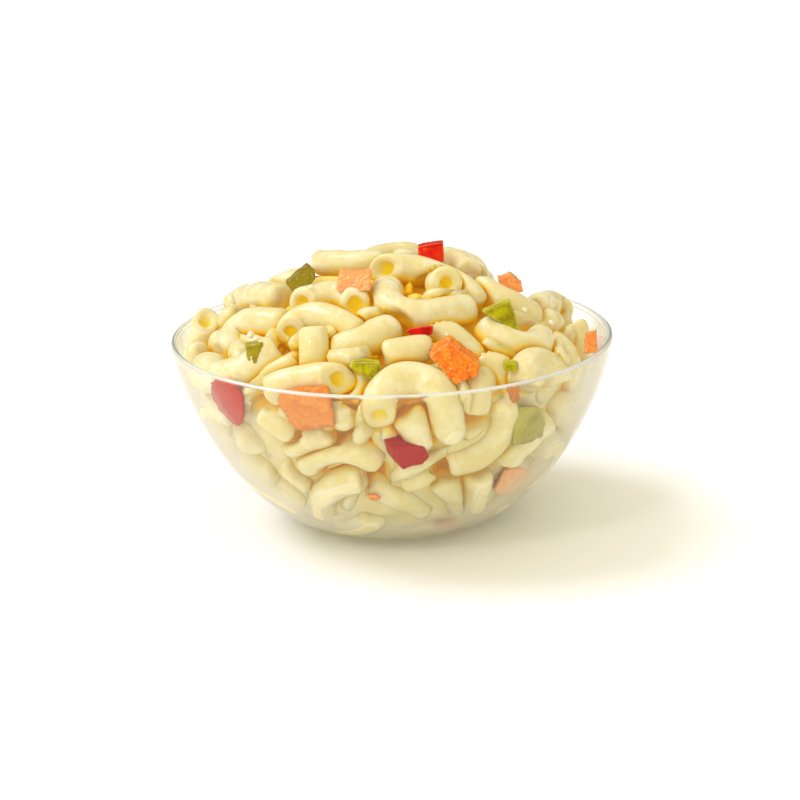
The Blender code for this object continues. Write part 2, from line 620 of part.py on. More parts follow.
def tube_mesh(radius, line, ends):
    """A bent tube of few sides. Each end named in ends (0, 1) has a shallow hole."""
    line = resample(line, TUBE_STEPS)
    along = np.gradient(line, axis=0)
    along /= np.linalg.norm(along, axis=1)[:, None]
    side = np.cross(along[0], SIDE_START)
    bm = bmesh.new()
    rings = []
    for point, direction in zip(line, along):
        side = side - direction * (side @ direction)
        side /= np.linalg.norm(side)
        other = np.cross(direction, side)
        turns = 2 * math.pi * np.arange(TUBE_SIDES)[:, None] / TUBE_SIDES
        ring = point + SIDE_SWELL * radius * (np.cos(turns) * side + np.sin(turns) * other)
        ring = sink_into_bowl(ring, BOWL_CLEARANCE)
        rings.append([bm.verts.new(corner) for corner in ring])
    for lower, upper in zip(rings, rings[1:]):
        for step in range(TUBE_SIDES):
            after = (step + 1) % TUBE_SIDES
            bm.faces.new((lower[step], lower[after], upper[after], upper[step]))
    for end, ring in enumerate((rings[0], rings[-1])):
        cap = bm.faces.new(ring)
        if end in ends:
            bmesh.ops.recalc_face_normals(bm, faces=bm.faces)
            rim = radius * (1 - HOLE_SHARE)
            bmesh.ops.inset_region(bm, faces=[cap], thickness=rim, use_even_offset=False)
            push = Vector(along[0] if end == 0 else -along[-1]) * HOLE_DEPTH
            bmesh.ops.translate(bm, vec=push, verts=cap.verts)
    return bm


def open_ends(radius, line):
    """The ends of a tube that can be seen into: near the surface and not pointing down into the heap."""
    found = []
    for end, (tip, before) in enumerate(((line[0], line[1]), (line[-1], line[-2]))):
        heading = (tip - before) / np.linalg.norm(tip - before)
        near = depth(tip) < radius + MOUTH_DEPTH
        outwards = -(heading @ inward(tip, depth)) > MOUTH_LEAN
        off_glass = wall_room(tip) > radius + MOUTH_CLEARANCE
        if near and outwards and off_glass:
            found.append(end)
    return found


def die_mesh(corners, grow=0.0):
    bm = bmesh.new()
    middle = corners.mean(axis=0)
    for corner in corners:
        away = corner - middle
        bm.verts.new(corner + grow * away / np.linalg.norm(away))
    hull = bmesh.ops.convex_hull(bm, input=bm.verts)
    spare = [item for item in hull["geom_interior"] if isinstance(item, bmesh.types.BMVert)]
    bmesh.ops.delete(bm, geom=spare, context="VERTS")
    return bm


def combine(piece, operation, parts, solver):
    """Join or cut a piece with all the parts, which are then removed."""
    collection = bpy.data.collections.new("parts")
    bpy.context.scene.collection.children.link(collection)
    for part in parts:
        bpy.context.scene.collection.objects.unlink(part)
        collection.objects.link(part)
    modifier = piece.modifiers.new(operation, "BOOLEAN")
    modifier.operation = operation
    modifier.operand_type = "COLLECTION"
    modifier.collection = collection
    modifier.solver = solver
    bpy.context.view_layer.update()
    evaluated = piece.evaluated_get(bpy.context.evaluated_depsgraph_get())
    mesh = bpy.data.meshes.new_from_object(evaluated)
    piece.modifiers.clear()
    piece.data = mesh
    for part in parts:
        bpy.data.objects.remove(part)
    bpy.data.collections.remove(collection)


def keep_largest_shell(piece):
    """Drop loose scraps and fill sealed hollows, so that one closed body is left."""
    bm = bmesh.new()
    bm.from_mesh(piece.data)
    bmesh.ops.remove_doubles(bm, verts=bm.verts, dist=WELD_DISTANCE * MM)
    bmesh.ops.dissolve_degenerate(bm, edges=bm.edges, dist=WELD_DISTANCE * MM)
    bmesh.ops.dissolve_limit(bm, angle_limit=FLAT_ANGLE, verts=bm.verts, edges=bm.edges)
    bmesh.ops.triangulate(bm, faces=bm.faces)
    waiting = set(bm.faces)
    shells = []
    while waiting:
        reached = [waiting.pop()]
        shell = set(reached)
        while reached:
            face = reached.pop()
            for edge in face.edges:
                for other in edge.link_faces:
                    if len(edge.link_faces) == 2 and other in waiting:
                        waiting.remove(other)
                        shell.add(other)
                        reached.append(other)
        shells.append(shell)
    largest = max(shells, key=len)
    spare = [face for face in bm.faces if face not in largest]
    bmesh.ops.delete(bm, geom=spare, context="FACES")
    wires = [edge for edge in bm.edges if not edge.link_faces]
    bmesh.ops.delete(bm, geom=wires, context="EDGES")
    bm.to_mesh(piece.data)
    bm.free()


def build_heap(pasta, dice):
    """The heap: the core with every macaroni that shows fused on, less the room that the dice need."""
    heap = add_object("macaroni_heap", core_mesh(), pasta)
    placed = placed_macaroni()
    middles = np.array([(corners.min(axis=0) + corners.max(axis=0)) / 2 for corners in dice.values()])
    parts = []
    for radius, line in placed + laid_macaroni(placed, middles):
        parts.append(add_object("macaroni", tube_mesh(radius, line, open_ends(radius, line)), pasta))
    print("macaroni in the heap:", len(parts))
    combine(heap, "UNION", parts, "MANIFOLD")
    cutters = [add_object("room", die_mesh(corners, grow=2 * GAP), pasta) for corners in dice.values()]
    combine(heap, "DIFFERENCE", cutters, "MANIFOLD")
    keep_largest_shell(heap)
    return heap


def main():
    for leftover in list(bpy.data.objects):
        bpy.data.objects.remove(leftover)
    glass = paint("clear_glass", (0.95, 0.98, 0.97), 0.02, 1.0)
    pasta = paint("dressed_pasta", (0.87, 0.76, 0.48), 0.35)
    colours = {
        "carrot": paint("carrot", (0.9, 0.28, 0.03), 0.4),
        "red_pepper": paint("red_pepper", (0.75, 0.02, 0.01), 0.25),
        "green_pepper": paint("green_pepper", (0.32, 0.36, 0.03), 0.3),
    }
    dice = all_dice()
    build_bowl(glass)
    build_heap(pasta, dice)
    for name, corners in dice.items():
        kind = next(kind for kind in colours if name.startswith(kind))
        add_object(name, die_mesh(corners), colours[kind])


main()
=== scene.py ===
"""The looks of a macaroni salad in a clear glass bowl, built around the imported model.

Lengths are in millimetres here, as in the part's own source, and become metres
as each mesh is made. The bowl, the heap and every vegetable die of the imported
model are replaced by finely modelled pieces in the same places. The macaroni
lie along the same middle lines as the tubes of the solid heap, which the same
rules lay, with more of them underneath.
"""

import math
import random

import bmesh
import bpy
import numpy as np
from mathutils import Matrix, Vector, noise
from mathutils.kdtree import KDTree


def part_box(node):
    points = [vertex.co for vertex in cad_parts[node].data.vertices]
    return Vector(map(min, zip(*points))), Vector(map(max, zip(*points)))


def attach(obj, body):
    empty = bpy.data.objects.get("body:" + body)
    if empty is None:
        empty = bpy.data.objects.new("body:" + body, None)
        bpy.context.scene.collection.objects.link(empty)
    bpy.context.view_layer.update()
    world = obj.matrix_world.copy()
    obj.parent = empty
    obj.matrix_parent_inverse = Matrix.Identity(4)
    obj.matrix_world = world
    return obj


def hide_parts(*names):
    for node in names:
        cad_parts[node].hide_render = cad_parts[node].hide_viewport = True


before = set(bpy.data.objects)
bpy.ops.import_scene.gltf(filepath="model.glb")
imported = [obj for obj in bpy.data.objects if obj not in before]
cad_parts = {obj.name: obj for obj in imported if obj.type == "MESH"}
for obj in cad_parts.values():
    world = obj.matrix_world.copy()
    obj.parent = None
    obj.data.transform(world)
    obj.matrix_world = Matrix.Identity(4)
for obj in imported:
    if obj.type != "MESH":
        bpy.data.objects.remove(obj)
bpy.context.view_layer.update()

MM = 0.001


def corners_of(node):
    """A node's lowest and highest corners in millimetres."""
    low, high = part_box(node)
    return np.round(np.array(low) / MM, 2), np.round(np.array(high) / MM, 2)


# Glass bowl
BOWL_HIGH = corners_of("glass_bowl")[1]
RIM_RADIUS = float(BOWL_HIGH[0])
RIM_HEIGHT = float(BOWL_HIGH[2])
FOOT_RADIUS = 22.0
WALL = 2.1
FLOOR = 4.0
SIDE_ROUNDNESS = 0.53
SIDE_STEEPNESS = 1.4
PROFILE_EASE = 1.5
PROFILE_POINTS = 300
SLOPE_REACH = 0.5
BOWL_SEGMENTS = 160
WALL_STEPS = 60
LIP_STEPS = 14
AXIS_RADIUS = 0.01
# The lip is painted an opaque pale grey-blue, in place of the light that the glass there passes and reflects:
# how far down it reaches and how much it hides
LIP_PAINT_REACH = 1.0
LIP_PAINT_SHARE = 0.45

# Heap of salad
HEAP_EDGE = 60.0
HEAP_CROWN = 30.0
HEAP_REACH = 67.0

# Macaroni, as the part's source lays it
CROWDING = 0.80
LAID_CROWDING = 0.71
LINE_POINTS = 9
SPAN_POINTS = 12
MOST_PUSH = 4.0
PUSH_STEP = 0.5
RIM_EASE = 0.25
DEPTH_STEP = 0.4
SETTLING_ROUNDS = 6

# The side that the heap shows best is seen from in front and a little above.
# Places there are (across, up, deep): across and up in a plane through the
# middle of the rim that faces the eye, deep behind the heap's surface.
EYE_TILT = math.radians(17.0)
EYE_DISTANCE = 800.0
EYE_AIM = np.array([2.2, 0.0, 38.6])
TOWARDS_EYE = np.array([0.0, -math.cos(EYE_TILT), math.sin(EYE_TILT)])
PLANE_UP = np.array([0.0, math.sin(EYE_TILT), math.cos(EYE_TILT)])
ACROSS = np.array([1.0, 0.0, 0.0])
EYE = EYE_AIM + TOWARDS_EYE * EYE_DISTANCE
RIM_MIDDLE = np.array([0.0, 0.0, RIM_HEIGHT])
SIGHT_REACH = 110.0
SIGHT_STEP = 0.4

# The heap's highest edge as the eye sees it, as (across, up), and the middle
# and half size of a gap under the topmost piece that can be seen through.
SKYLINE = ((-66, 0), (-63, 9), (-57, 10), (-54.5, 2), (-52.5, 8), (-46, 15), (-38, 16.5), (-25, 23.5),
           (-18, 26), (-8, 25), (3, 28.5), (14, 28), (24, 25), (31, 18), (36, 13.5), (43, 9.5), (50, 11.5),
           (56, 7.5), (61, 3), (64, -6))
PEEP_HOLE = (-19.5, 18.0)
PEEP_HOLE_HALF = (2.8, 1.8)

# Tube radius, then the places that the middle of the tube runs through. The
# pieces in front come first, and a later one gives way to those before it.
PLACED_MACARONI = {
    "front dome": (5.0, (-4.6, -27, 0), (-3.2, -18.5, 0), (6, -15, 0), (15, -19.5, 0), (18, -33, 0)),
    "front left": (4.7, (-40, -18.5, 2), (-29, -15, 0), (-16.8, -14.9, -1)),
    "front U": (5.2, (-58.3, -8.4, 0), (-48.5, -11.8, -1), (-37.4, -4.2, 0)),
    "left upright": (4.5, (-60.6, -11, 21), (-61.4, -3, 2), (-59.6, 5.2, -12)),
    "stump": (4.2, (-25.3, 0.8, -4), (-25.2, -5, 0), (-25.6, -12, 5)),
    "open arch": (4.6, (-32.8, -0.4, -1), (-30.6, 3.2, 0), (-25, 5.2, 0), (-17.5, 3.4, 0), (-10.5, -1.2, 2)),
    "centre diagonal": (4.8, (-19, -6.9, 1.5), (-9, -2.6, -1), (0.8, 1.2, 1)),
    "centre low": (4.3, (-2.8, -7.2, 0), (4, -6.2, 0), (12, -5.8, 2)),
    "left arch": (5.1, (-53, -8, 3), (-51, -1.2, 2), (-46.9, 2.8, 1), (-41, 3.8, 1), (-34, 2.6, 4)),
    "two ends": (4.8, (-29, 9.6, 0), (-20.3, 11.6, 4.5), (-11.6, 9.2, 0)),
    "left back": (5.5, (-51.4, 7.4, 1), (-46, 10.6, 1), (-40, 11.6, 2), (-34.5, 10.6, 5)),
    "ring end": (5.1, (17.8, 15.4, -3), (16.6, 14.8, 3), (13.2, 13.2, 10)),
    "top arch": (4.7, (-2, 20.4, -4), (4.5, 20.4, -1.5), (11, 18.8, 0), (19.5, 15.3, 1), (25.4, 10.6, 3),
                 (27.6, 6.8, 6)),
    "C ring": (4.9, (-0.6, 14.4, 4.5), (-1.6, 10.5, 1), (2.5, 6.6, 0), (10, 5.2, 0), (18, 6.2, 0),
               (25.2, 6.6, 1.5)),
    "top left": (3.9, (-21.5, 23, 1), (-12.5, 22.4, 0), (-2.5, 22.2, 2)),
    "top right": (4.2, (17.4, 23.4, 3), (22, 21.6, 1), (25.4, 18.4, 2)),
    "right long": (4.7, (28.3, 13.4, 2), (36.3, 8.6, 0), (45.6, 3.8, 2)),
    "right back": (4.3, (46.8, 6.8, 7), (49.8, 7.9, 5), (52.8, 7.2, 3), (54.9, 5.2, 0)),
    "right upright": (4.8, (58.2, 1.2, -8), (59, -5, 13), (58, -13, 21)),
    "right round": (5.2, (42.6, -18.5, 0), (47.3, -11.7, 0), (52.5, -17.5, 0)),
    "right U": (5.0, (30.3, 1, 2), (38.5, -5.2, -1), (46.8, -2.4, 0)),
    "right flat": (4.4, (36, 2.2, 6), (44, 2.8, 4), (52, 1, 5)),
    "behind carrot": (4.6, (12, 1.5, 4), (20, -3, 3), (27, -10, 5)),
    "right front": (4.7, (27, -11.5, 4), (34.5, -13.2, 1), (40, -17.5, 1)),
    "right hanging": (4.7, (29.5, -18.5, 8), (26.6, -20, 1), (25.6, -25.5, 0)),
    "behind green": (4.6, (-41, 11, 9), (-34, 15.2, 8), (-27, 16, 10)),
    "behind top": (4.6, (-8, 20.5, 8), (0, 23.8, 6), (9, 23.4, 7)),
    "top right behind": (4.2, (18, 22.4, 9), (22.5, 22, 9), (26, 20, 9), (27.4, 18, 9)),
    "under diagonal": (4.6, (-22, -4, 7), (-14, -12, 6), (-4, -13, 7)),
    "under front": (4.6, (-15, -21, 1), (-12, -18, 2), (-7, -13, 5)),
    "inside ring": (4.6, (3, 9, 12), (9, 13, 12), (15, 10, 12)),
    "left low behind": (4.6, (-56, -3, 8), (-46, -4, 8), (-36, -8, 8)),
    "under two ends": (4.6, (-34, 9, 8), (-25, 13, 9), (-13, 12, 9)),
    "right deep": (4.6, (50, -4, 6), (55, -9, 5), (53, -16, 6)),
    "hanging left": (5.0, (-15.6, -19, 3), (-15.8, -23, 1), (-14.9, -27.3, 0)),
    "wall blob left": (5.6, (-43.5, -32.2, 0), (-44.5, -31, 5), (-47, -29, 10)),
    "wall slant left": (4.4, (-41, -23.6, 0), (-37, -27.2, 0), (-31.5, -30.8, 1)),
    "wall below carrot": (4.5, (-32.6, -34.4, 0), (-27, -32.4, 0.5), (-20, -30.5, 2)),
    "wall arch": (4.7, (-27, -41.5, 0), (-17, -36.3, 0), (-5, -40.5, 0)),
    "wall C": (4.4, (-21.5, -55, 1), (-19.5, -48.3, 0), (-10, -45.8, 0)),
    "wall long": (4.2, (-8, -47.8, 0), (0, -51.2, 0), (9, -55.3, 0)),
    "wall blob low": (4.0, (-17.5, -58.6, 1), (-11.5, -59, 0), (-6, -56.6, 0)),
    "wall big right": (5.2, (34.9, -20, 0), (34.9, -27.5, 0), (31, -34.5, 0), (24, -39.4, 0), (16.8, -41, 1)),
    "wall right low": (4.8, (43.6, -37.4, 0), (43, -42.5, 0), (38, -46, 2)),
    "wall right patch": (4.4, (26.5, -45, 1), (26, -49.2, 0), (24, -53.6, 1)),
    "wall middle patch": (4.4, (13.5, -46.5, 0.5), (18, -50.6, 0), (18.5, -56.5, 1)),
    "wall middle": (4.2, (3.2, -47, 1), (7.4, -45.8, 0), (12, -44.6, 2)),
    "wall low front": (4.0, (1.5, -58.4, 1), (9, -58.8, 0), (16.5, -58, 1)),
    "wall left inner": (4.4, (-34.2, -40.4, 0), (-29.5, -43.6, 0), (-24.5, -48, 1.5)),
    "wall left long": (4.6, (-45, -42.5, 0), (-37, -47.5, 0), (-28.5, -53, 0)),
    "wall left top": (4.8, (-58.5, -24, 0), (-56, -31, 0), (-50, -38, 0)),
    "wall right top": (4.8, (51.5, -20, 0), (52, -27, 0), (51, -34, 0)),
    "wall centre": (5.4, (4, -25.5, 1), (6.5, -29, 0), (9.5, -34, 0)),
}

# Macaroni laid by rule wherever there is room, in layers under one another:
# how deep the layer lies, how far it may wander and how many places are tried.
FILL_SEED = 7
FILL_LAYERS = ((0.0, 0.8, 900), (1.0, 2.5, 300))
FILL_TURNS = 14
TUBE_RADII = (4.3, 5.0)
BEND_RADII = (10.5, 13.0)
HALF_TURNS = (1.5, 1.15, 0.85, 0.6)
MOST_TIP = math.radians(60.0)
MOST_SHIFT = 8.0
MOST_PROUD = 0.6
TOP_SHARE = 0.42
WALL_SPREAD = 0.8
DIE_CLEARANCE = 3.0


def outer_radius(height):
    share = np.clip(height / RIM_HEIGHT, 0.0, 1.0)
    return FOOT_RADIUS + (RIM_RADIUS - FOOT_RADIUS) * (1 - (1 - share) ** SIDE_STEEPNESS) ** SIDE_ROUNDNESS


def inner_wall():
    """Radii and heights of the wall's inner face, from the floor to the rim."""
    heights = RIM_HEIGHT * np.linspace(0, 1, PROFILE_POINTS) ** PROFILE_EASE
    radii = outer_radius(heights)
    along_r = np.gradient(radii)
    along_z = np.gradient(heights)
    length = np.hypot(along_r, along_z)
    inner_r = radii - WALL * along_z / length
    inner_z = heights + WALL * along_r / length
    keep = inner_z > FLOOR
    return inner_r[keep], inner_z[keep]


WALL_RADII, WALL_HEIGHTS = inner_wall()


def inner_radius(height):
    return np.interp(height, WALL_HEIGHTS, WALL_RADII)


def heap_top(radius):
    return HEAP_EDGE + HEAP_CROWN * (1 - (radius / HEAP_REACH) ** 2)


def wall_slope(height):
    """How fast the bowl widens with its height, and 0 above the rim."""
    wider = inner_radius(height + SLOPE_REACH) - inner_radius(height - SLOPE_REACH)
    return np.where(height > RIM_HEIGHT, 0.0, wider / (2 * SLOPE_REACH))


def wall_room(points):
    """How far each point is from the bowl's inner face."""
    radius = np.hypot(points[..., 0], points[..., 1])
    height = points[..., 2]
    inside = (inner_radius(height) - radius) / np.sqrt(1 + wall_slope(height) ** 2)
    return np.where(height > RIM_HEIGHT, RIM_RADIUS - WALL - radius, inside)


def towards_wall(points):
    """The direction from each point straight at the bowl's inner face."""
    radius = np.hypot(points[:, 0], points[:, 1]) + 1e-9
    outward = np.stack([points[:, 0] / radius, points[:, 1] / radius, -wall_slope(points[:, 2])], -1)
    return outward / np.linalg.norm(outward, axis=1)[:, None]


def depth(points):
    """How deep each point lies in the space that the salad fills."""
    points = np.asarray(points, float)
    radius = np.hypot(points[..., 0], points[..., 1])
    fall = 2 * HEAP_CROWN * radius / HEAP_REACH ** 2
    below_top = (heap_top(radius) - points[..., 2]) / np.sqrt(1 + fall ** 2)
    return np.minimum(np.minimum(wall_room(points), below_top), points[..., 2] - FLOOR)


def seen(points):
    """Where the eye sees each point, as across and up in the plane."""
    rays = points - EYE
    reach = (RIM_MIDDLE - EYE) @ TOWARDS_EYE / (rays @ TOWARDS_EYE)
    offset = EYE + rays * reach[..., None] - RIM_MIDDLE
    return offset @ ACROSS, offset @ PLANE_UP


def headroom(points):
    """How far below the heap's skyline the eye sees each point."""
    across, up = seen(points)
    skyline = np.array(SKYLINE, float)
    return np.interp(across, skyline[:, 0], skyline[:, 1]) - up


def lying_depth(points):
    """The depth of each point, with the skyline as one more edge of the heap."""
    return np.minimum(depth(points), headroom(points))


def inward(points, measure):
    """The direction in which a measure of depth grows."""
    rise = [measure(points + DEPTH_STEP * axis) - measure(points - DEPTH_STEP * axis) for axis in np.eye(3)]
    rise = np.stack(rise, -1)
    return rise / (np.linalg.norm(rise, axis=-1)[..., None] + 1e-9)


def sight(across, up):
    """Where the eye's ray through a place crosses the plane, and its direction."""
    start = RIM_MIDDLE + across * ACROSS + up * PLANE_UP
    ray = start - EYE
    return start, ray / np.linalg.norm(ray)


def place(across, up, deep, radius):
    """The point where a ball of this radius first sinks under the heap's surface, then deep further on."""
    start, ray = sight(across, up)
    steps = np.arange(-SIGHT_REACH, SIGHT_REACH, SIGHT_STEP)
    points = start + steps[:, None] * ray
    depths = depth(points)
    under = np.nonzero(depths >= radius)[0]
    first = under[0] if len(under) else int(np.argmax(depths))
    return points[first] + deep * ray


def circle_through(first, second, third, count):
    """Points along the circle's arc from the first to the third point."""
    u = second - first
    v = third - first
    normal = np.cross(u, v)
    size = normal @ normal
    centre = first + (np.cross(normal, u) * (v @ v) + np.cross(v, normal) * (u @ u)) / (2 * size)
    x_axis = first - centre
    y_axis = np.cross(normal / math.sqrt(size), x_axis)
    spoke = third - centre
    turn = math.atan2(spoke @ y_axis, spoke @ x_axis) % (2 * math.pi)
    turns = np.linspace(0, turn, count)[:, None]
    return centre + np.cos(turns) * x_axis + np.sin(turns) * y_axis


def curve_through(points, count):
    """Evenly spaced points along a smooth curve through all of these."""
    padded = [2 * points[0] - points[1], *points, 2 * points[-1] - points[-2]]
    fine = []
    for span in range(len(points) - 1):
        p0, p1, p2, p3 = padded[span:span + 4]
        for t in np.linspace(0, 1, SPAN_POINTS, endpoint=span == len(points) - 2):
            bend = (2 * p0 - 5 * p1 + 4 * p2 - p3) * t ** 2 + (3 * p1 - p0 - 3 * p2 + p3) * t ** 3
            fine.append(0.5 * (2 * p1 + (p2 - p0) * t + bend))
    return resample(np.array(fine), count)


def resample(line, count):
    lengths = np.linalg.norm(np.diff(line, axis=0), axis=1)
    run = np.concatenate([[0.0], np.cumsum(lengths)])
    wanted = np.linspace(0, run[-1], count)
    return np.stack([np.interp(wanted, run, line[:, axis]) for axis in range(3)], -1)


def middle_line(points, count):
    if len(points) == 3:
        return circle_through(*points, count)
    return curve_through(points, count)


def keep_in_bowl(points, gap, rim_ease=0.0):
    """Move points inwards until they clear the bowl's inner face by the gap, or by less above the rim."""
    points = np.array(points, float)
    for _ in range(SETTLING_ROUNDS):
        over_rim = rim_ease * np.maximum(0.0, points[:, 2] - RIM_HEIGHT)
        short = np.maximum(0.0, gap - wall_room(points) - over_rim)
        points -= towards_wall(points) * short[:, None]
        points[:, 2] = np.maximum(points[:, 2], FLOOR + gap)
    return points


def closest(line, others):
    """The least gap between a line and others, which come as a list of (radius, line)."""
    gaps = [np.linalg.norm(line[:, None] - other[None], axis=2).min() - reach for reach, other in others]
    return min(gaps, default=math.inf)


def placed_macaroni():
    """The macaroni laid at the listed places, as (radius, middle line)."""
    tubes = []
    for radius, *places in PLACED_MACARONI.values():
        others = [(CROWDING * (radius + other), line) for other, line in tubes]
        push = 0.0
        while push <= MOST_PUSH:
            points = [place(a, b, d, radius) + push * sight(a, b)[1] for a, b, d in places]
            line = middle_line(points, LINE_POINTS)
            if closest(line, others) >= 0:
                break
            push += PUSH_STEP
        tubes.append((radius, keep_in_bowl(line, radius, RIM_EASE)))
    return tubes


def tree_of(tubes):
    tree = KDTree(sum(len(line) for _, line in tubes))
    reach = []
    for radius, line in tubes:
        for point in line:
            tree.insert(point, len(reach))
            reach.append(radius)
    tree.balance()
    return tree, reach


def crowded(line, radius, tree, reach, crowding):
    """Whether a tube along this line would cross the tubes in the tree by too much."""
    most = radius + max(reach)
    for point in line:
        for _, index, distance in tree.find_range(point, most):
            if distance < crowding * (radius + reach[index]):
                return True
    return False


def surface_spot(draw):
    """A point on the heap's surface, on top or against the wall, picked evenly by area."""
    angle = draw.uniform(0, 2 * math.pi)
    if draw.random() < TOP_SHARE:
        radius = HEAP_REACH * math.sqrt(draw.random())
        height = heap_top(radius)
    else:
        height = FLOOR + (HEAP_EDGE - FLOOR) * draw.random() ** WALL_SPREAD
        radius = float(inner_radius(height))
    return np.array([radius * math.cos(angle), radius * math.sin(angle), height])


def in_peep_hole(line, radius):
    across, up = seen(line)
    beside = np.abs(across - PEEP_HOLE[0]) - PEEP_HOLE_HALF[0]
    above = np.abs(up - PEEP_HOLE[1]) - PEEP_HOLE_HALF[1]
    return bool((np.maximum(beside, above) < radius).any())


def try_elbow(draw, spot, inset, radius, half_turn):
    """One bent tube with its middle near a spot, in a random direction, or None where it would stick out."""
    outward = -inward(spot, depth)
    middle = spot - outward * inset
    along = np.cross(outward, [draw.gauss(0, 1) for _ in range(3)])
    along /= np.linalg.norm(along)
    aside = np.cross(outward, along) * draw.choice((-1, 1))
    lean = MOST_TIP * draw.random() ** 2
    towards = aside * math.cos(lean) - outward * math.sin(lean)
    bend = draw.uniform(*BEND_RADII)
    turns = np.linspace(-half_turn, half_turn, LINE_POINTS)[:, None]
    line = middle + bend * (np.sin(turns) * along + (1 - np.cos(turns)) * towards)
    short = np.maximum(0.0, radius + inset - TUBE_RADII[1] - lying_depth(line))
    if short.max() > MOST_SHIFT:
        return None
    line = line + inward(line, lying_depth) * short[:, None]
    if lying_depth(line).min() < radius - MOST_PROUD or in_peep_hole(line, radius):
        return None
    return line


def lay(seed, layers, tubes, dice_middles, crowding=LAID_CROWDING):
    """More macaroni wherever there is room, clear of the tubes and the dice, as (radius, middle line)."""
    draw = random.Random(seed)
    tubes = list(tubes)
    start = len(tubes)
    tree, reach = tree_of(tubes)
    for inset, wander, spots in layers:
        for _ in range(spots):
            radius = draw.uniform(*TUBE_RADII)
            spot = surface_spot(draw)
            deep = radius + inset + draw.random() * wander
            for turn in range(FILL_TURNS):
                half_turn = HALF_TURNS[turn * len(HALF_TURNS) // FILL_TURNS]
                line = try_elbow(draw, spot, deep, radius, half_turn)
                if line is None or crowded(line, radius, tree, reach, crowding):
                    continue
                if closest(line, [(radius + DIE_CLEARANCE, dice_middles)]) < 0:
                    continue
                tubes.append((radius, line))
                tree, reach = tree_of(tubes)
                break
    return tubes[start:]


# Macaroni, as it looks. A tube's skin is a run of rings: down its hole, round
# its lip, along its outside and back in at the far end. A mouth's rings are
# (depth, radius), both as shares of the tube's radius.
OPEN_SHARE = 0.7
FACING_AWAY = 0.1
UNDER_SEED = 23
UNDER_LAYERS = ((1.5, 2.0, 900), (3.0, 2.0, 900), (5.0, 2.5, 400))
UNDER_CROWDING = 0.42
SIDES = 20
UNDER_SIDES = 12
RING_STEP = 1.15
UNDER_RING_STEP = 2.0
SWELL = 1.06
OPEN_MOUTH = ((0.95, 0.0), (0.92, 0.24), (0.78, 0.36), (0.5, 0.41), (0.24, 0.43), (0.08, 0.48),
              (0.01, 0.6), (0.0, 0.76), (0.05, 0.89), (0.18, 0.97), (0.42, 1.0))
PINCHED_MOUTH = ((0.6, 0.0), (0.56, 0.1), (0.45, 0.14), (0.3, 0.16), (0.15, 0.18), (0.05, 0.23),
                 (0.0, 0.4), (0.0, 0.66), (0.06, 0.86), (0.2, 0.96), (0.42, 1.0))
SMALL_MOUTH = tuple((deep, share if share > 0.55 else share * 0.8) for deep, share in OPEN_MOUTH)
CUT_MOUTH = ((0.05, 0.0), (0.04, 0.5), (0.0, 0.82), (0.03, 0.94), (0.12, 1.0))
HOLE_MOUTHS = (OPEN_MOUTH, PINCHED_MOUTH, SMALL_MOUTH)
HOLE_RINGS = 6
DENSE_POINTS = 40
CLOSED_MOUTH = ((0.08, 0.0), (0.06, 0.25), (0.0, 0.5), (0.03, 0.74), (0.14, 0.9), (0.4, 1.0))
BLUNT_MOUTH = ((0.0, 0.0), (0.05, 0.6), (0.2, 0.88), (0.5, 1.0))
MOST_CUT_LEAN = 0.35
CUT_REACH = 5.0
CUT_EASE = 2.4
EDGE_WAVE = 0.07

# The ends of placed macaroni that the eye looks into: which end, its mouth, and
# how far the cut there is turned towards the eye (the slope of the cut).
OPEN_ENDS = {
    "left upright": ((1, OPEN_MOUTH, 1.2),),
    "two ends": ((0, OPEN_MOUTH, 0.5), (1, OPEN_MOUTH, 0.2)),
    "ring end": ((0, SMALL_MOUTH, 0.1),),
    "front left": ((1, OPEN_MOUTH, 0.9),),
    "front dome": ((0, OPEN_MOUTH, 0.9),),
    "open arch": ((0, OPEN_MOUTH, 0.7),),
    "top arch": ((0, OPEN_MOUTH, 0.9),),
    "stump": ((0, CUT_MOUTH, -0.1),),
    "right back": ((1, PINCHED_MOUTH, 0.3),),
}
SKIN_POINTS = 48
# How far a tube's outline strays from round and straight, as shares of its radius
OVAL_SHARES = (0.015, 0.05)
WAVE_SHARE = 0.022
WAVE_LENGTHS = (9.0, 16.0)
TWIST_SHARE = 0.0132
TWIST_LENGTH = 5.0
MOST_PHASE = 6.0
HOLE_DEPTH = 0.6
SHAPE_SEED = 31
GIVE_WAY_GAP = 0.12
GIVE_WAY_EASE = 0.45
LEAST_SHARE = 0.25
GIVE_WAY_ROUNDS = 3
GIVE_WAY_SLACK = 0.02
LEAST_PUSH = 0.03
LEAST_FACING = 0.35
GLASS_BITE = 0.15
GLASS_PULL = 0.55
GLASS_PULL_REACH = 3.5
GLASS_PULL_END = 2.0
TOUCH_REACH = 0.35
SIDE_START = (0.3, 0.5, 0.81)

# Core: the dressed salad between and under the macaroni. It lies close behind
# the glass, but for pockets at places (across, up) with a radius.
CORE_INSET = 6.5
CORE_LOW_INSET = 2.4
CORE_LOW_HEIGHTS = (9.0, 22.0)
CORE_CROWN = 20.0
CORE_EDGE = 54.0
CORE_SEGMENTS = 150
CORE_STEPS = 44
CORE_TOP_STEPS = 24
CORE_RELIEF = 0.8
CORE_RELIEF_SCALE = 0.16
CORE_END_RADIUS = 0.5
POCKET_BALL = 0.5
POCKET_DEPTH = 8.0
POCKETS = ((-37, -33.5, 3.0), (-25.3, -45.4, 2.2), (-15.8, -40, 2.2), (-11, -29.5, 2.2), (-45.6, -20.5, 3.5),
           (9, -34.5, 4.5), (25, -31.2, 3.2), (35, -43, 2.4), (-10, -49, 1.8), (20.5, -49, 2.0))

# Film of dressing on the inside of the glass: how little and how much it hides
# face on, and how far the glass is turned away where it starts to hide more
FILM_BITE = 0.08
FILM_LOW = 0.5
FILM_TOP = 60.5
FILM_SHARES = (0.0048, 0.0216)
FILM_EDGE = (0.265, 0.335)
FILM_EDGE_SHARE = 0.68

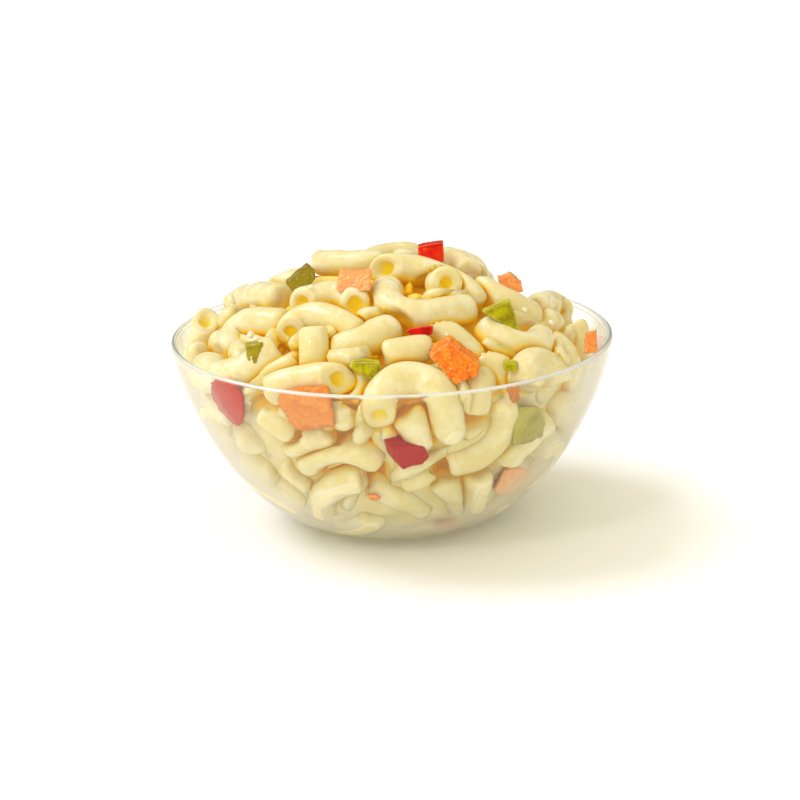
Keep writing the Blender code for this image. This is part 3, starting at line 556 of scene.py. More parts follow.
# Lumps of thick dressing, as (across, up, deep, radius)
PLACED_LUMPS = ((-45.4, 0.2, 0.8, 1.5), (-43.4, -1.3, 0.8, 1.2), (-49.6, -6.8, 0.9, 1.4),
                (51.4, 1.9, 1.0, 1.2), (42.8, 6.2, 0.8, 0.7), (-25.6, 15.2, 0.2, 0.7))
SCATTERED_LUMPS = 12
LUMP_SEED = 5
LUMP_DEPTHS = (3.0, 6.0)
LUMP_HEADROOM = 6.0
LUMP_RADII = (0.6, 1.1)
LUMP_NOISE = 0.25
LUMP_NOISE_SCALE = 1.3
LUMP_STRETCH = (0.7, 1.3)

# Behind the glass less painted shade: the colour is lifted towards the open, as if the light got further in
# between the macaroni than on top
PAINTED_LIFT_REACH = 10.0
POCKET_SPREAD = 1.5

# Painted glow: an emission in the crevices and holes that stands in for light soaking through the pasta
CREVICE_GLOW = 0.12
HOLE_GLOW = 0.08

# How deep in the salad the painted shade of the depths starts to turn its colour, and where it is full
DEEP_START = 4.5
DEEP_END = 9.5
# These tubes, and the core, get the painted shade of the depths wherever they lie.
DEPTH_SHADED_MACARONI = ("inside ring", "under diagonal", "under two ends")
DEPTH_SHADE_SHARE = 0.7
CORE_DEPTH_SHADE_SHARE = 0.3
CORE_TINT = 0.5

# Vegetable dice
DIE_WELD = 0.05
DIE_FLAT_ANGLE = math.radians(2.0)
DIE_EDGE_ROUND = 0.35
DIE_GRAIN = 0.4
DIE_NOISE = {"carrot": (0.5, 0.45), "red_pepper": (0.3, 0.18), "green_pepper": (0.32, 0.2)}
DIE_NOISE_SCALES = (0.35, 1.6)
SKIN_DEPTH = 0.9
# Painted light and painted shade on single dice: how far each is lightened as if lit more, and darkened as if
# in shade
PAINTED_LIGHT_DICE = {"carrot_upper": 0.8, "carrot_low": 0.9, "carrot_back": 0.5, "carrot_edge": 0.4}
PAINTED_SHADE_DICE = {"green_pepper_upper": 0.85, "green_pepper_left": 0.55, "green_pepper_base": 0.7,
             "green_pepper_wall": 0.4, "carrot_rim": 0.9, "carrot_left": 0.3, "red_pepper_low": 1.0,
             "red_pepper_left": 0.7}

# Painted shade of the pasta, as colours from the deepest crevice to the open,
# and colours from the darkest mottle of a carrot to its palest
PAINTED_PASTA_SHADE = ((0.04, (0.62, 0.21, 0.001)), (0.16, (0.82, 0.43, 0.005)), (0.30, (0.84, 0.58, 0.035)),
                (0.46, (0.79, 0.63, 0.17)), (0.68, (0.715, 0.615, 0.31)))
CARROT_SHADES = ((0.32, (0.72, 0.10, 0.0003)), (0.5, (0.88, 0.21, 0.001)), (0.62, (0.90, 0.29, 0.012)),
                 (0.76, (0.88, 0.48, 0.15)))
RED_PEPPER = ((0.66, 0.005, 0.0008), (0.78, 0.03, 0.003), (0.82, 0.18, 0.05), (0.38, 0.002, 0.0005))
GREEN_PEPPER = ((0.44, 0.39, 0.002), (0.55, 0.50, 0.004), (0.66, 0.62, 0.16), (0.20, 0.13, 0.0005))

# Studio
FLOOR_SIZE = 8.0
SUN_ELEVATION = math.radians(52.0)
SUN_AZIMUTH = math.radians(162.0)
SUN_SOFTNESS = math.radians(28.0)
SUN_STRENGTH = 1.75
SUN_COLOUR = (0.74, 0.76, 1.0)
WORLD_COLOUR = (1.0, 0.965, 0.80)
WORLD_STRENGTH = 0.94
GLOSSY_WORLD_SHARE = 0.4
FILL_PLACE = (-0.45, -1.3, 0.22)
FILL_SIZE = 1.1
FILL_POWER = 5.2
SPARK_PLACE = (-0.45, -0.6, 0.75)
SPARK_SIZE = 0.14
SPARK_POWER = 1.2
CAMERA_ROLL = math.radians(1.2)
CAMERA_LENS = 110.9


def show(thing):
    bpy.context.scene.collection.objects.link(thing)
    return thing


def add_mesh(name, points, faces, material, attributes=None):
    """A smooth piece in metres from points in millimetres, with float attributes on its points."""
    mesh = bpy.data.meshes.new(name)
    mesh.from_pydata((np.asarray(points) * MM).tolist(), [], faces)
    mesh.shade_smooth()
    for attribute, values in (attributes or {}).items():
        layer = mesh.attributes.new(attribute, "FLOAT", "POINT")
        layer.data.foreach_set("value", np.asarray(values, np.float32))
    mesh.materials.append(material)
    return show(bpy.data.objects.new(name, mesh))


def joined(parts):
    """The points and faces of several parts, which each start with their own, as one."""
    faces = []
    total = 0
    for points, part_faces, *_ in parts:
        faces += [tuple(total + corner for corner in face) for face in part_faces]
        total += len(points)
    return np.concatenate([part[0] for part in parts]), faces


def over_points(parts, column):
    """A column of the parts, one value for each part or for each of its points, over all the points."""
    return np.concatenate([np.broadcast_to(part[column], len(part[0])) for part in parts])


def turned_faces(rings, segments):
    """Faces between rings of points, which are numbered ring by ring."""
    faces = []
    for ring in range(rings - 1):
        low = ring * segments
        for step in range(segments):
            after = (step + 1) % segments
            faces.append((low + step, low + after, low + segments + after, low + segments + step))
    return faces


def turned_points(profile, segments):
    angles = 2 * math.pi * np.arange(segments) / segments
    radii, heights = np.array(profile).T[..., None]
    points = np.stack(np.broadcast_arrays(radii * np.cos(angles), radii * np.sin(angles), heights), -1)
    return points.reshape(-1, 3)


def crosswise(line):
    """Directions along a line, and two crosswise axes at each point that turn as little as they can."""
    along = np.gradient(line, axis=0)
    along /= np.linalg.norm(along, axis=1)[:, None]
    side = np.cross(along[0], SIDE_START)
    sides = []
    for direction in along:
        side = side - direction * (side @ direction)
        side /= np.linalg.norm(side)
        sides.append(side)
    sides = np.array(sides)
    return along, sides, np.cross(along, sides)


def tube_rings(radius, length, ring_step, mouths):
    """(run, share) of each ring: how far along the tube it lies, and its share of the tube's radius."""
    start = [(depth * radius, share) for depth, share in mouths[0]]
    end = [(length - depth * radius, share) for depth, share in reversed(mouths[1])]
    count = max(3, round((end[0][0] - start[-1][0]) / ring_step))
    body = [(run, 1.0) for run in np.linspace(start[-1][0], end[0][0], count)[1:-1]]
    return np.array(start + body + end)


def cut_slopes(slopes, radius, share, turns, axes, draw):
    """How far each end's cut leads or trails at each point, and how far along the tube that reaches."""
    cuts = []
    for end, slope in enumerate(slopes):
        tip = -1 if end else 0
        if slope is None:
            slope = draw.uniform(-MOST_CUT_LEAN, MOST_CUT_LEAN)
            phase = draw.uniform(0, 2 * math.pi)
            facing = np.cos(turns - phase)
        else:
            to_side, to_other = axes[1][tip] @ TOWARDS_EYE, axes[2][tip] @ TOWARDS_EYE
            facing = np.cos(turns) * to_side + np.sin(turns) * to_other
            facing = facing / math.hypot(to_side, to_other)
        wave = EDGE_WAVE * np.cos(3 * turns + draw.uniform(0, 2 * math.pi))
        reach = max(CUT_REACH, CUT_EASE * abs(slope) * radius)
        cuts.append(((wave - slope * facing) * share * radius, reach))
    return cuts


def tube_skin(radius, line, sides, ring_step, mouths, slopes, draw):
    """A macaroni's points, its middle point behind each of them, and how deep in the hole each is."""
    line = curve_through(list(line), SKIN_POINTS)
    length = float(np.linalg.norm(np.diff(line, axis=0), axis=1).sum())
    rings = tube_rings(radius, length, ring_step, mouths)
    along, side, other = crosswise(line)
    turns = 2 * math.pi * np.arange(sides) / sides
    run = np.repeat(rings[:, :1], sides, axis=1)
    share = rings[:, 1:]
    start, end = cut_slopes(slopes, radius, share, turns, (along, side, other), draw)
    fade = np.clip(1 - run / start[1], 0, 1) ** 2
    far_fade = np.clip(1 - (length - run) / end[1], 0, 1) ** 2
    run = run - start[0] * fade + end[0] * far_fade
    oval = draw.uniform(*OVAL_SHARES)
    wave = draw.uniform(*WAVE_LENGTHS)
    width = 1 + oval * np.cos(2 * turns + draw.uniform(0, MOST_PHASE))
    width = width + WAVE_SHARE * np.sin(run / wave * 2 * math.pi + draw.uniform(0, MOST_PHASE))
    width = width + TWIST_SHARE * np.sin(3 * turns + run / TWIST_LENGTH + draw.uniform(0, MOST_PHASE))
    reach = SWELL * radius * share * width
    grid = np.linspace(0, length, SKIN_POINTS)
    flat = np.clip(run, 0, length)
    middle = np.stack([np.interp(flat, grid, line[:, axis]) for axis in range(3)], -1)
    beyond = (run - flat)[..., None]
    axes = [np.stack([np.interp(flat, grid, way[:, axis]) for axis in range(3)], -1)
            for way in (along, side, other)]
    middle = middle + beyond * axes[0]
    points = middle + reach[..., None] * (np.cos(turns)[:, None] * axes[1] + np.sin(turns)[:, None] * axes[2])
    in_hole = np.zeros(len(rings))
    for end, mouth in enumerate(mouths):
        if mouth in HOLE_MOUTHS:
            for ring in range(HOLE_RINGS):
                in_hole[-1 - ring if end else ring] = min(1.0, mouth[ring][0] / HOLE_DEPTH)
    return points.reshape(-1, 3), middle.reshape(-1, 3), np.repeat(in_hole, sides), len(rings)


def dense(line, radius):
    """A tube's radius, its middle line in close points, and the corners of the box that it fills."""
    fine = curve_through(list(line), DENSE_POINTS)
    reach = SWELL * radius + GIVE_WAY_GAP
    return radius, fine, fine.min(axis=0) - reach, fine.max(axis=0) + reach


def give_way(points, middles, tubes):
    """Draw a tube's points in towards its middle wherever they would pass into the tubes that came before."""
    points = points.copy()
    for other_radius, other_line, low, high in tubes:
        if (points.min(axis=0) > high).any() or (points.max(axis=0) < low).any():
            continue
        for _ in range(GIVE_WAY_ROUNDS):
            gaps = np.linalg.norm(points[:, None] - other_line[None], axis=2)
            nearest = gaps.argmin(axis=1)
            away = points - other_line[nearest]
            distance = gaps[np.arange(len(points)), nearest]
            inside = SWELL * other_radius + GIVE_WAY_GAP - distance
            push = GIVE_WAY_EASE * np.logaddexp(0, inside / GIVE_WAY_EASE) - GIVE_WAY_SLACK
            inner = middles - points
            room = np.linalg.norm(inner, axis=1) + 1e-9
            inner = inner / room[:, None]
            facing = np.clip((inner * away).sum(axis=1) / (distance + 1e-9), LEAST_FACING, 1.0)
            step = np.clip(push / facing, 0, room * (1 - LEAST_SHARE))
            step[push < LEAST_PUSH] = 0
            points += inner * step[:, None]
    return points


def press_on_glass(points):
    """Spread points that come near the glass against it, a little way into it so that no air shows."""
    room = wall_room(points)
    pull = GLASS_PULL * np.clip(1 - room / GLASS_PULL_REACH, 0, 1)
    pull[points[:, 2] > RIM_HEIGHT - GLASS_PULL_END] = 0
    points = points + towards_wall(points) * pull[:, None]
    return keep_in_bowl(points, -GLASS_BITE)


def on_glass(points):
    """How fully each point touches the glass, from 0 to 1."""
    touch = np.clip(1 - wall_room(points) / TOUCH_REACH, 0, 1)
    touch[points[:, 2] > RIM_HEIGHT] = 0
    return touch


def behind_glass(points):
    """How close behind the glass each point lies, from 1 at the glass to 0, and 0 in the pockets."""
    close = np.clip(1 - wall_room(points) / PAINTED_LIFT_REACH, 0, 1)
    close[points[:, 2] > RIM_HEIGHT] = 0
    for across, up, radius in POCKETS:
        distance = np.linalg.norm(points - place(across, up, 0, POCKET_BALL), axis=1)
        close *= 1 - np.exp(-(distance / (radius + POCKET_SPREAD)) ** 4)
    return close


def mouths_of(name, line, draw):
    """The mouth and the cut's slope at each end: as placed, or often open where the eye can't look in."""
    mouths = [CLOSED_MOUTH, CLOSED_MOUTH]
    slopes = [None, None]
    if name:
        for end, mouth, slope in OPEN_ENDS.get(name, ()):
            mouths[end] = mouth
            slopes[end] = slope
        return mouths, slopes
    for end, tip in enumerate((line[0], line[-1])):
        outward = -inward(tip, depth)
        if outward @ TOWARDS_EYE < FACING_AWAY and draw.random() < OPEN_SHARE:
            mouths[end] = OPEN_MOUTH
    return mouths, slopes


def heap_mesh(tubes, under, pasta):
    """The heap as one piece: the macaroni that show, in fine rings, those underneath, and the core."""
    draw = random.Random(SHAPE_SEED)
    names = list(PLACED_MACARONI)
    parts = []
    before = []
    for number, (radius, line) in enumerate(tubes + under):
        name = names[number] if number < len(names) else None
        sides, step, mouths, slopes = UNDER_SIDES, UNDER_RING_STEP, (BLUNT_MOUTH, BLUNT_MOUTH), (None, None)
        if number < len(tubes):
            sides, step = SIDES, RING_STEP
            mouths, slopes = mouths_of(name, line, draw)
        skin, middles, in_hole, rings = tube_skin(radius, line, sides, step, mouths, slopes, draw)
        skin = press_on_glass(give_way(skin, middles, before))
        before.append(dense(line, radius))
        depth_shade = DEPTH_SHADE_SHARE if name in DEPTH_SHADED_MACARONI else 0.0
        parts.append((skin, turned_faces(rings, sides), draw.random(), in_hole, depth_shade))
    parts.append((*core_shape(), CORE_TINT, 0.0, CORE_DEPTH_SHADE_SHARE))
    points, faces = joined(parts)
    # Painted shade of the depths: deeper points, and the tubes listed as shaded, take the darker golden
    # colours
    deep = (depth(points) - DEEP_START) / (DEEP_END - DEEP_START)
    attributes = {
        "tint": over_points(parts, 2),
        "hole": over_points(parts, 3),
        "touch": on_glass(points),
        "deep": np.clip(np.maximum(deep, over_points(parts, 4)), 0, 1),
        "painted_lift": behind_glass(points),
    }
    print("triangles in the heap:", sum(len(face) - 2 for face in faces))
    return add_mesh("macaroni", points, faces, pasta, attributes)


def core_shape():
    """Points and faces of the core: a turned lump with relief, drawn in at the pockets."""
    heights = np.linspace(FLOOR - GLASS_BITE, CORE_EDGE, CORE_STEPS)
    low, high = CORE_LOW_HEIGHTS
    share = np.clip((heights - low) / (high - low), 0, 1)
    radii = inner_radius(heights) - (CORE_LOW_INSET + (CORE_INSET - CORE_LOW_INSET) * share)
    side = zip(radii, heights)
    inwards = np.linspace(radii[-1], CORE_END_RADIUS, CORE_TOP_STEPS)[1:]
    top = zip(inwards, CORE_EDGE + CORE_CROWN * (1 - (inwards / radii[-1]) ** 2))
    profile = [(CORE_END_RADIUS, FLOOR - GLASS_BITE), *side, *top]
    points = turned_points(profile, CORE_SEGMENTS)
    relief = [noise.noise(Vector(point) * CORE_RELIEF_SCALE) for point in points]
    points = points + inward(points, depth) * (CORE_RELIEF * np.array(relief))[:, None]
    for across, up, radius in POCKETS:
        middle = place(across, up, 0, POCKET_BALL)
        near = np.exp(-((np.linalg.norm(points - middle, axis=1) - CORE_INSET) / radius).clip(0) ** 2)
        points = points + inward(points, depth) * (POCKET_DEPTH * near)[:, None]
    points = keep_in_bowl(points, -GLASS_BITE)
    faces = turned_faces(len(profile), CORE_SEGMENTS)
    last = (len(profile) - 1) * CORE_SEGMENTS
    faces.append(tuple(reversed(range(CORE_SEGMENTS))))
    faces.append(tuple(range(last, last + CORE_SEGMENTS)))
    return points, faces


def build_film(cream):
    """A thin film of dressing on the inside of the glass, from the floor up to just below the rim."""
    heights = np.linspace(FLOOR + FILM_LOW, FILM_TOP, WALL_STEPS)
    profile = [(float(inner_radius(height)) + FILM_BITE, float(height)) for height in heights]
    points = turned_points(profile, BOWL_SEGMENTS)
    return add_mesh("dressing_film", points, turned_faces(len(profile), BOWL_SEGMENTS), cream)


def build_lumps(cream):
    """Lumps of thick dressing: where the eye sees them, and more in the crevices all round."""
    draw = random.Random(LUMP_SEED)
    middles = [(place(across, up, deep, radius), radius) for across, up, deep, radius in PLACED_LUMPS]
    for _ in range(SCATTERED_LUMPS):
        spot = surface_spot(draw)
        spot = spot + inward(spot, depth) * draw.uniform(*LUMP_DEPTHS)
        if headroom(spot) > LUMP_HEADROOM:
            middles.append((spot, draw.uniform(*LUMP_RADII)))
    ball = bmesh.new()
    bmesh.ops.create_icosphere(ball, subdivisions=3, radius=1.0)
    shape = np.array([corner.co for corner in ball.verts])
    ball_faces = [tuple(corner.index for corner in face.verts) for face in ball.faces]
    ball.free()
    parts = []
    for middle, radius in middles:
        stretch = np.array([draw.uniform(*LUMP_STRETCH) for _ in range(3)])
        swell = [1 + LUMP_NOISE * noise.noise(Vector(corner * LUMP_NOISE_SCALE + middle)) for corner in shape]
        parts.append((middle + shape * stretch * radius * np.array(swell)[:, None], ball_faces))
    points, faces = joined(parts)
    return add_mesh("dressing_lumps", press_on_glass(points), faces, cream)


def build_bowl(glass):
    """The bowl in fine rings: a flat foot, a flaring wall with a rounded lip, and a thick floor."""
    shares = np.arange(WALL_STEPS) / WALL_STEPS
    heights = RIM_HEIGHT * shares ** PROFILE_EASE
    heights = heights[heights < RIM_HEIGHT - WALL / 2]
    outside = zip(outer_radius(heights), heights)
    turns = np.linspace(0, math.pi, LIP_STEPS + 1)
    lip = zip(RIM_RADIUS - WALL / 2 + WALL / 2 * np.cos(turns),
              RIM_HEIGHT - WALL / 2 + WALL / 2 * np.sin(turns))
    lowest = WALL_HEIGHTS[0]
    heights = lowest + (RIM_HEIGHT - WALL - lowest) * (1 - shares[1:]) ** PROFILE_EASE
    inside = zip(inner_radius(heights), heights)
    profile = [(AXIS_RADIUS, 0.0), *outside, *lip, *inside, (WALL_RADII[0], FLOOR), (AXIS_RADIUS, FLOOR)]
    points = turned_points(profile, BOWL_SEGMENTS)
    # Where the lip's painted pale grey-blue takes over from the clear glass
    lip_share = np.clip((points[:, 2] - RIM_HEIGHT + LIP_PAINT_REACH) / LIP_PAINT_REACH * 2, 0, 1)
    faces = turned_faces(len(profile), BOWL_SEGMENTS)
    return add_mesh("bowl_of_glass", points, faces, glass, {"lip": lip_share})


def face_planes(bm):
    """The different planes of a convex body's faces, as normals and offsets."""
    planes = []
    for face in bm.faces:
        normal = np.array(face.normal)
        if all(normal @ known < math.cos(DIE_FLAT_ANGLE) for known, _ in planes):
            planes.append((normal, float(normal @ np.array(face.verts[0].co))))
    return np.array([plane[0] for plane in planes]), np.array([plane[1] for plane in planes])


def vertex_values(mesh, name):
    values = np.empty(len(mesh.vertices) * 3)
    mesh.vertices.foreach_get(name, values)
    return values.reshape(-1, 3)


def build_die(node, kind, material):
    """A vegetable die in place of its plain solid: rounded edges and an uneven, cut surface."""
    bm = bmesh.new()
    bm.from_mesh(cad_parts[node].data)
    bmesh.ops.scale(bm, vec=(1 / MM, 1 / MM, 1 / MM), verts=bm.verts)
    bmesh.ops.remove_doubles(bm, verts=bm.verts, dist=DIE_WELD)
    bmesh.ops.dissolve_limit(bm, angle_limit=DIE_FLAT_ANGLE, verts=bm.verts, edges=bm.edges)
    bm.normal_update()
    normals, offsets = face_planes(bm)
    bmesh.ops.bevel(bm, geom=bm.edges[:], offset=DIE_EDGE_ROUND, segments=3, profile=0.5, affect="EDGES")
    mesh = bpy.data.meshes.new("rough")
    bm.to_mesh(mesh)
    bm.free()
    rough = show(bpy.data.objects.new("rough", mesh))
    remesh = rough.modifiers.new("grain", "REMESH")
    remesh.mode = "VOXEL"
    remesh.voxel_size = DIE_GRAIN
    soften = rough.modifiers.new("soften", "SMOOTH")
    soften.factor = 0.5
    soften.iterations = 2
    bpy.context.view_layer.update()
    evaluated = rough.evaluated_get(bpy.context.evaluated_depsgraph_get())
    fine = bpy.data.meshes.new_from_object(evaluated)
    bpy.data.objects.remove(rough)
    points = vertex_values(fine, "co")
    away = vertex_values(fine, "normal")
    distances = np.sort(np.abs(points @ normals.T - offsets), axis=1)
    edge = distances[:, 1]
    outward = -inward(points.mean(axis=0), depth)
    skin = int(np.argmax(normals @ outward))
    on_skin = np.abs(points @ normals[skin] - offsets[skin]) < SKIN_DEPTH
    relief = np.zeros(len(points))
    for height, scale in zip(DIE_NOISE[kind], DIE_NOISE_SCALES):
        relief += [height * noise.noise(Vector(point) * scale) for point in points]
    points = points + away * relief[:, None]
    points = press_on_glass(points)
    faces = [tuple(face.vertices) for face in fine.polygons]
    attributes = {"edge": edge, "skin": on_skin,
                  # Painted light and painted shade set for each die
                  "pale": np.full(len(points), PAINTED_LIGHT_DICE.get(node, 0.0)),
                  "dark": np.full(len(points), PAINTED_SHADE_DICE.get(node, 0.0))}
    piece = add_mesh(f"{node}_cut", points, faces, material, attributes)
    bpy.data.meshes.remove(fine)
    bpy.data.meshes.remove(mesh)
    return piece


def new_material(name):
    """A material, its node tree and its main shader."""
    material = bpy.data.materials.new(name)
    material.use_nodes = True
    return material, material.node_tree, material.node_tree.nodes["Principled BSDF"]


def add_node(tree, kind, sockets=None, **settings):
    """A shader node with its settings, and with each named socket set to a value or linked."""
    made = tree.nodes.new("ShaderNode" + kind)
    for name, value in settings.items():
        setattr(made, name, value)
    connect(tree, made, sockets or {})
    return made


def connect(tree, made, sockets):
    """Set a node's sockets. A colour is given as red, green and blue."""
    for name, value in sockets.items():
        socket = made.inputs[name]
        if isinstance(value, bpy.types.NodeSocket):
            tree.links.new(value, socket)
        else:
            socket.default_value = (*value, 1.0) if socket.type == "RGBA" else value


def mix(tree, share, first, second):
    return add_node(tree, "Mix", {0: share, 6: first, 7: second}, data_type="RGBA").outputs[2]


def mix_shaders(tree, share, first, second):
    return add_node(tree, "MixShader", {0: share, 1: first, 2: second}).outputs[0]


def combine(tree, how, first, second):
    return add_node(tree, "Math", {0: first, 1: second}, operation=how).outputs[0]


def times(tree, first, second):
    return combine(tree, "MULTIPLY", first, second)


def ramp(tree, value, stops):
    made = add_node(tree, "ValToRGB", {"Fac": value})
    elements = made.color_ramp.elements
    while len(elements) < len(stops):
        elements.new(0.5)
    for element, (position, shade) in zip(elements, stops):
        element.position = position
        element.color = (*shade, 1.0)
    return made.outputs["Color"]


def grey_ramp(tree, value, *stops):
    """A ramp of greys, with each stop as (position, grey)."""
    return ramp(tree, value, [(position, (grey, grey, grey)) for position, grey in stops])


def place_of(tree):
    return add_node(tree, "TexCoord").outputs["Object"]


def cloud(tree, scale, detail=2.0, roughness=0.5):
    sockets = {"Vector": place_of(tree), "Scale": scale, "Detail": detail, "Roughness": roughness}
    return add_node(tree, "TexNoise", sockets).outputs["Fac"]


def own(tree, attribute):
    return add_node(tree, "Attribute", attribute_name=attribute).outputs["Fac"]


def bump(tree, height, strength, distance):
    sockets = {"Height": height, "Strength": strength, "Distance": distance * MM}
    return add_node(tree, "Bump", sockets).outputs["Normal"]


def pasta_material():
    """Cooked macaroni under a thin coat of cream dressing, with painted shade: pale where open to the light,
    golden to orange where ambient occlusion and depth paint the crevices as shaded, and a painted glow in the
    crevices and holes.
    """
    material, tree, shader = new_material("dressed_pasta_skin")
    # Painted shade: how open each spot is to the light, from ambient occlusion and from its depth in the
    # salad, picks its colour
    shallow = grey_ramp(tree, own(tree, "deep"), (0.0, 1.0), (1.0, 0.15))
    sky = add_node(tree, "AmbientOcclusion", {"Distance": 5.0 * MM}, samples=8, only_local=True)
    open_sky = times(tree, sky.outputs["AO"], shallow)
    # Painted light: close behind the glass, but not in the pockets, the colour is lifted towards the open
    open_sky = mix(tree, times(tree, own(tree, "painted_lift"), 0.42), open_sky, (1.0, 1.0, 1.0))
    # Painted shade: the colour ramp runs from golden orange in shaded crevices to pale pasta in the open
    base = ramp(tree, open_sky, PAINTED_PASTA_SHADE)
    worn = grey_ramp(tree, cloud(tree, 360.0, 4.0, 0.65), (0.50, 0.0), (0.66, 0.35))
    base = mix(tree, worn, base, (0.72, 0.54, 0.15))
    # Cream dressing patches, kept to spots open to the light: part dressing, part painted highlight
    film = grey_ramp(tree, cloud(tree, 170.0, 5.0, 0.6), (0.47, 0.0), (0.58, 0.6))
    film = times(tree, film, grey_ramp(tree, open_sky, (0.5, 0.0), (0.9, 1.0)))
    base = mix(tree, film, base, (0.80, 0.74, 0.51))
    base = mix(tree, times(tree, own(tree, "tint"), 0.25), base, (0.75, 0.61, 0.21))
    line = grey_ramp(tree, own(tree, "touch"), (0.0, 0.0), (0.35, 0.6), (0.75, 0.25), (1.0, 0.3))
    base = mix(tree, line, base, (0.84, 0.80, 0.62))
    # Painted light: golden yellow inside the holes, where light shines through the pasta's thin wall
    base = mix(tree, own(tree, "hole"), base, (0.80, 0.65, 0.05))
    # Painted glow, an emission in the crevices and in the holes
    glow = grey_ramp(tree, open_sky, (0.05, CREVICE_GLOW), (0.5, 0.0))
    glow = combine(tree, "ADD", glow, times(tree, own(tree, "hole"), HOLE_GLOW))
    connect(tree, shader, {
        "Base Color": base, "Normal": bump(tree, cloud(tree, 210.0, 2.0, 0.4), 0.45, 0.5),
        "Roughness": 0.5, "IOR": 1.42, "Specular IOR Level": 0.12,
        "Subsurface Weight": 0.55, "Subsurface Radius": (1.0, 0.88, 0.35), "Subsurface Scale": 2.2 * MM,
        "Coat Weight": grey_ramp(tree, open_sky, (0.25, 0.04), (0.75, 0.8)), "Coat Roughness": 0.08,
        "Coat IOR": 1.4, "Coat Normal": bump(tree, cloud(tree, 420.0, 2.5, 0.45), 0.9, 0.45),
        "Emission Color": (1.0, 0.62, 0.02), "Emission Strength": glow,
    })
    return material


def lump_material():
    """Thick cream dressing in small lumps."""
    material, tree, shader = new_material("thick_dressing")
    connect(tree, shader, {
        "Base Color": (0.80, 0.73, 0.49), "Normal": bump(tree, cloud(tree, 500.0), 0.2, 0.3),
        "Roughness": 0.4, "Subsurface Weight": 0.4, "Subsurface Radius": (1.0, 0.8, 0.4),
        "Subsurface Scale": 1.5 * MM, "Coat Weight": 0.7, "Coat Roughness": 0.08,
    })
    return material


def let_light_in(material, tree, surface, clear):
    """Give a material its surface, but clear to the light that falls in through it."""
    rays = add_node(tree, "LightPath").outputs
    lit = combine(tree, "MAXIMUM", rays["Is Shadow Ray"], rays["Is Diffuse Ray"])
    surface = mix_shaders(tree, lit, surface, clear)
    connect(tree, tree.nodes["Material Output"], {"Surface": surface})
    return material


def film_material():
    """Dressing smeared thinly on glass, drawn out into faint upright streaks."""
    material, tree, shader = new_material("thin_dressing")
    connect(tree, shader, {"Base Color": (0.66, 0.61, 0.47), "Roughness": 0.6, "Specular IOR Level": 0.0})
    stretched = add_node(tree, "Mapping", {"Vector": place_of(tree), "Scale": (1.0, 1.0, 0.35)})
    sockets = {"Vector": stretched.outputs["Vector"], "Scale": 110.0, "Detail": 4.0}
    streaks = add_node(tree, "TexNoise", sockets).outputs["Fac"]
    thin = grey_ramp(tree, streaks, (0.3, FILM_SHARES[0]), (0.75, FILM_SHARES[1]))
    facing = add_node(tree, "LayerWeight", {"Blend": 0.5}).outputs["Facing"]
    grazing = grey_ramp(tree, facing, (FILM_EDGE[0], 0.0), (FILM_EDGE[1], FILM_EDGE_SHARE))
    clear = add_node(tree, "BsdfTransparent").outputs["BSDF"]
    both = mix_shaders(tree, combine(tree, "ADD", thin, grazing), clear, shader.outputs["BSDF"])
    return let_light_in(material, tree, both, clear)


def glass_material():
    """Clear glass that lets the studio's light straight through to the salad, with an opaque pale grey-blue
    painted on its lip in place of the light that the glass there passes and reflects.
    """
    material, tree, shader = new_material("bowl_glass")
    connect(tree, shader, {"Base Color": (0.975, 0.985, 0.97), "Roughness": 0.0, "IOR": 1.33,
                           "Transmission Weight": 1.0})
    # Painted lip: an opaque pale grey-blue with a glossy coat
    edge = add_node(tree, "BsdfPrincipled", {"Base Color": (0.80, 0.84, 0.82), "Roughness": 0.15,
                                             "Coat Weight": 1.0, "Coat Roughness": 0.03})
    lip = times(tree, own(tree, "lip"), LIP_PAINT_SHARE)
    solid = mix_shaders(tree, lip, shader.outputs["BSDF"], edge.outputs["BSDF"])
    clear = add_node(tree, "BsdfTransparent", {"Color": (0.97, 0.97, 0.95)}).outputs["BSDF"]
    return let_light_in(material, tree, solid, clear)


def carrot_material():
    """Cut carrot: mottled orange with pale bits and paler edges, and painted light and painted shade set for
    each die.
    """
    material, tree, shader = new_material("cut_carrot")
    base = ramp(tree, cloud(tree, 420.0, 4.0, 0.65), CARROT_SHADES)
    base = mix(tree, grey_ramp(tree, cloud(tree, 1300.0), (0.63, 0.0), (0.72, 1.0)), base, (0.86, 0.48, 0.18))
    base = mix(tree, grey_ramp(tree, own(tree, "edge"), (0.0, 0.5), (0.5, 0.0)), base, (0.88, 0.42, 0.12))
    # Painted light and painted shade: the die is lightened or darkened as a whole
    base = mix(tree, times(tree, own(tree, "pale"), 0.55), base, (0.88, 0.52, 0.22))
    base = mix(tree, own(tree, "dark"), base, (0.50, 0.17, 0.002))
    connect(tree, shader, {
        "Base Color": base, "Normal": bump(tree, cloud(tree, 700.0, 4.0), 0.9, 0.5), "Roughness": 0.34,
        "Subsurface Weight": 0.25, "Subsurface Radius": (1.0, 0.3, 0.05), "Subsurface Scale": 1.6 * MM,
        "Coat Weight": 0.25, "Coat Roughness": 0.12, "Specular IOR Level": 0.3,
    })
    return material


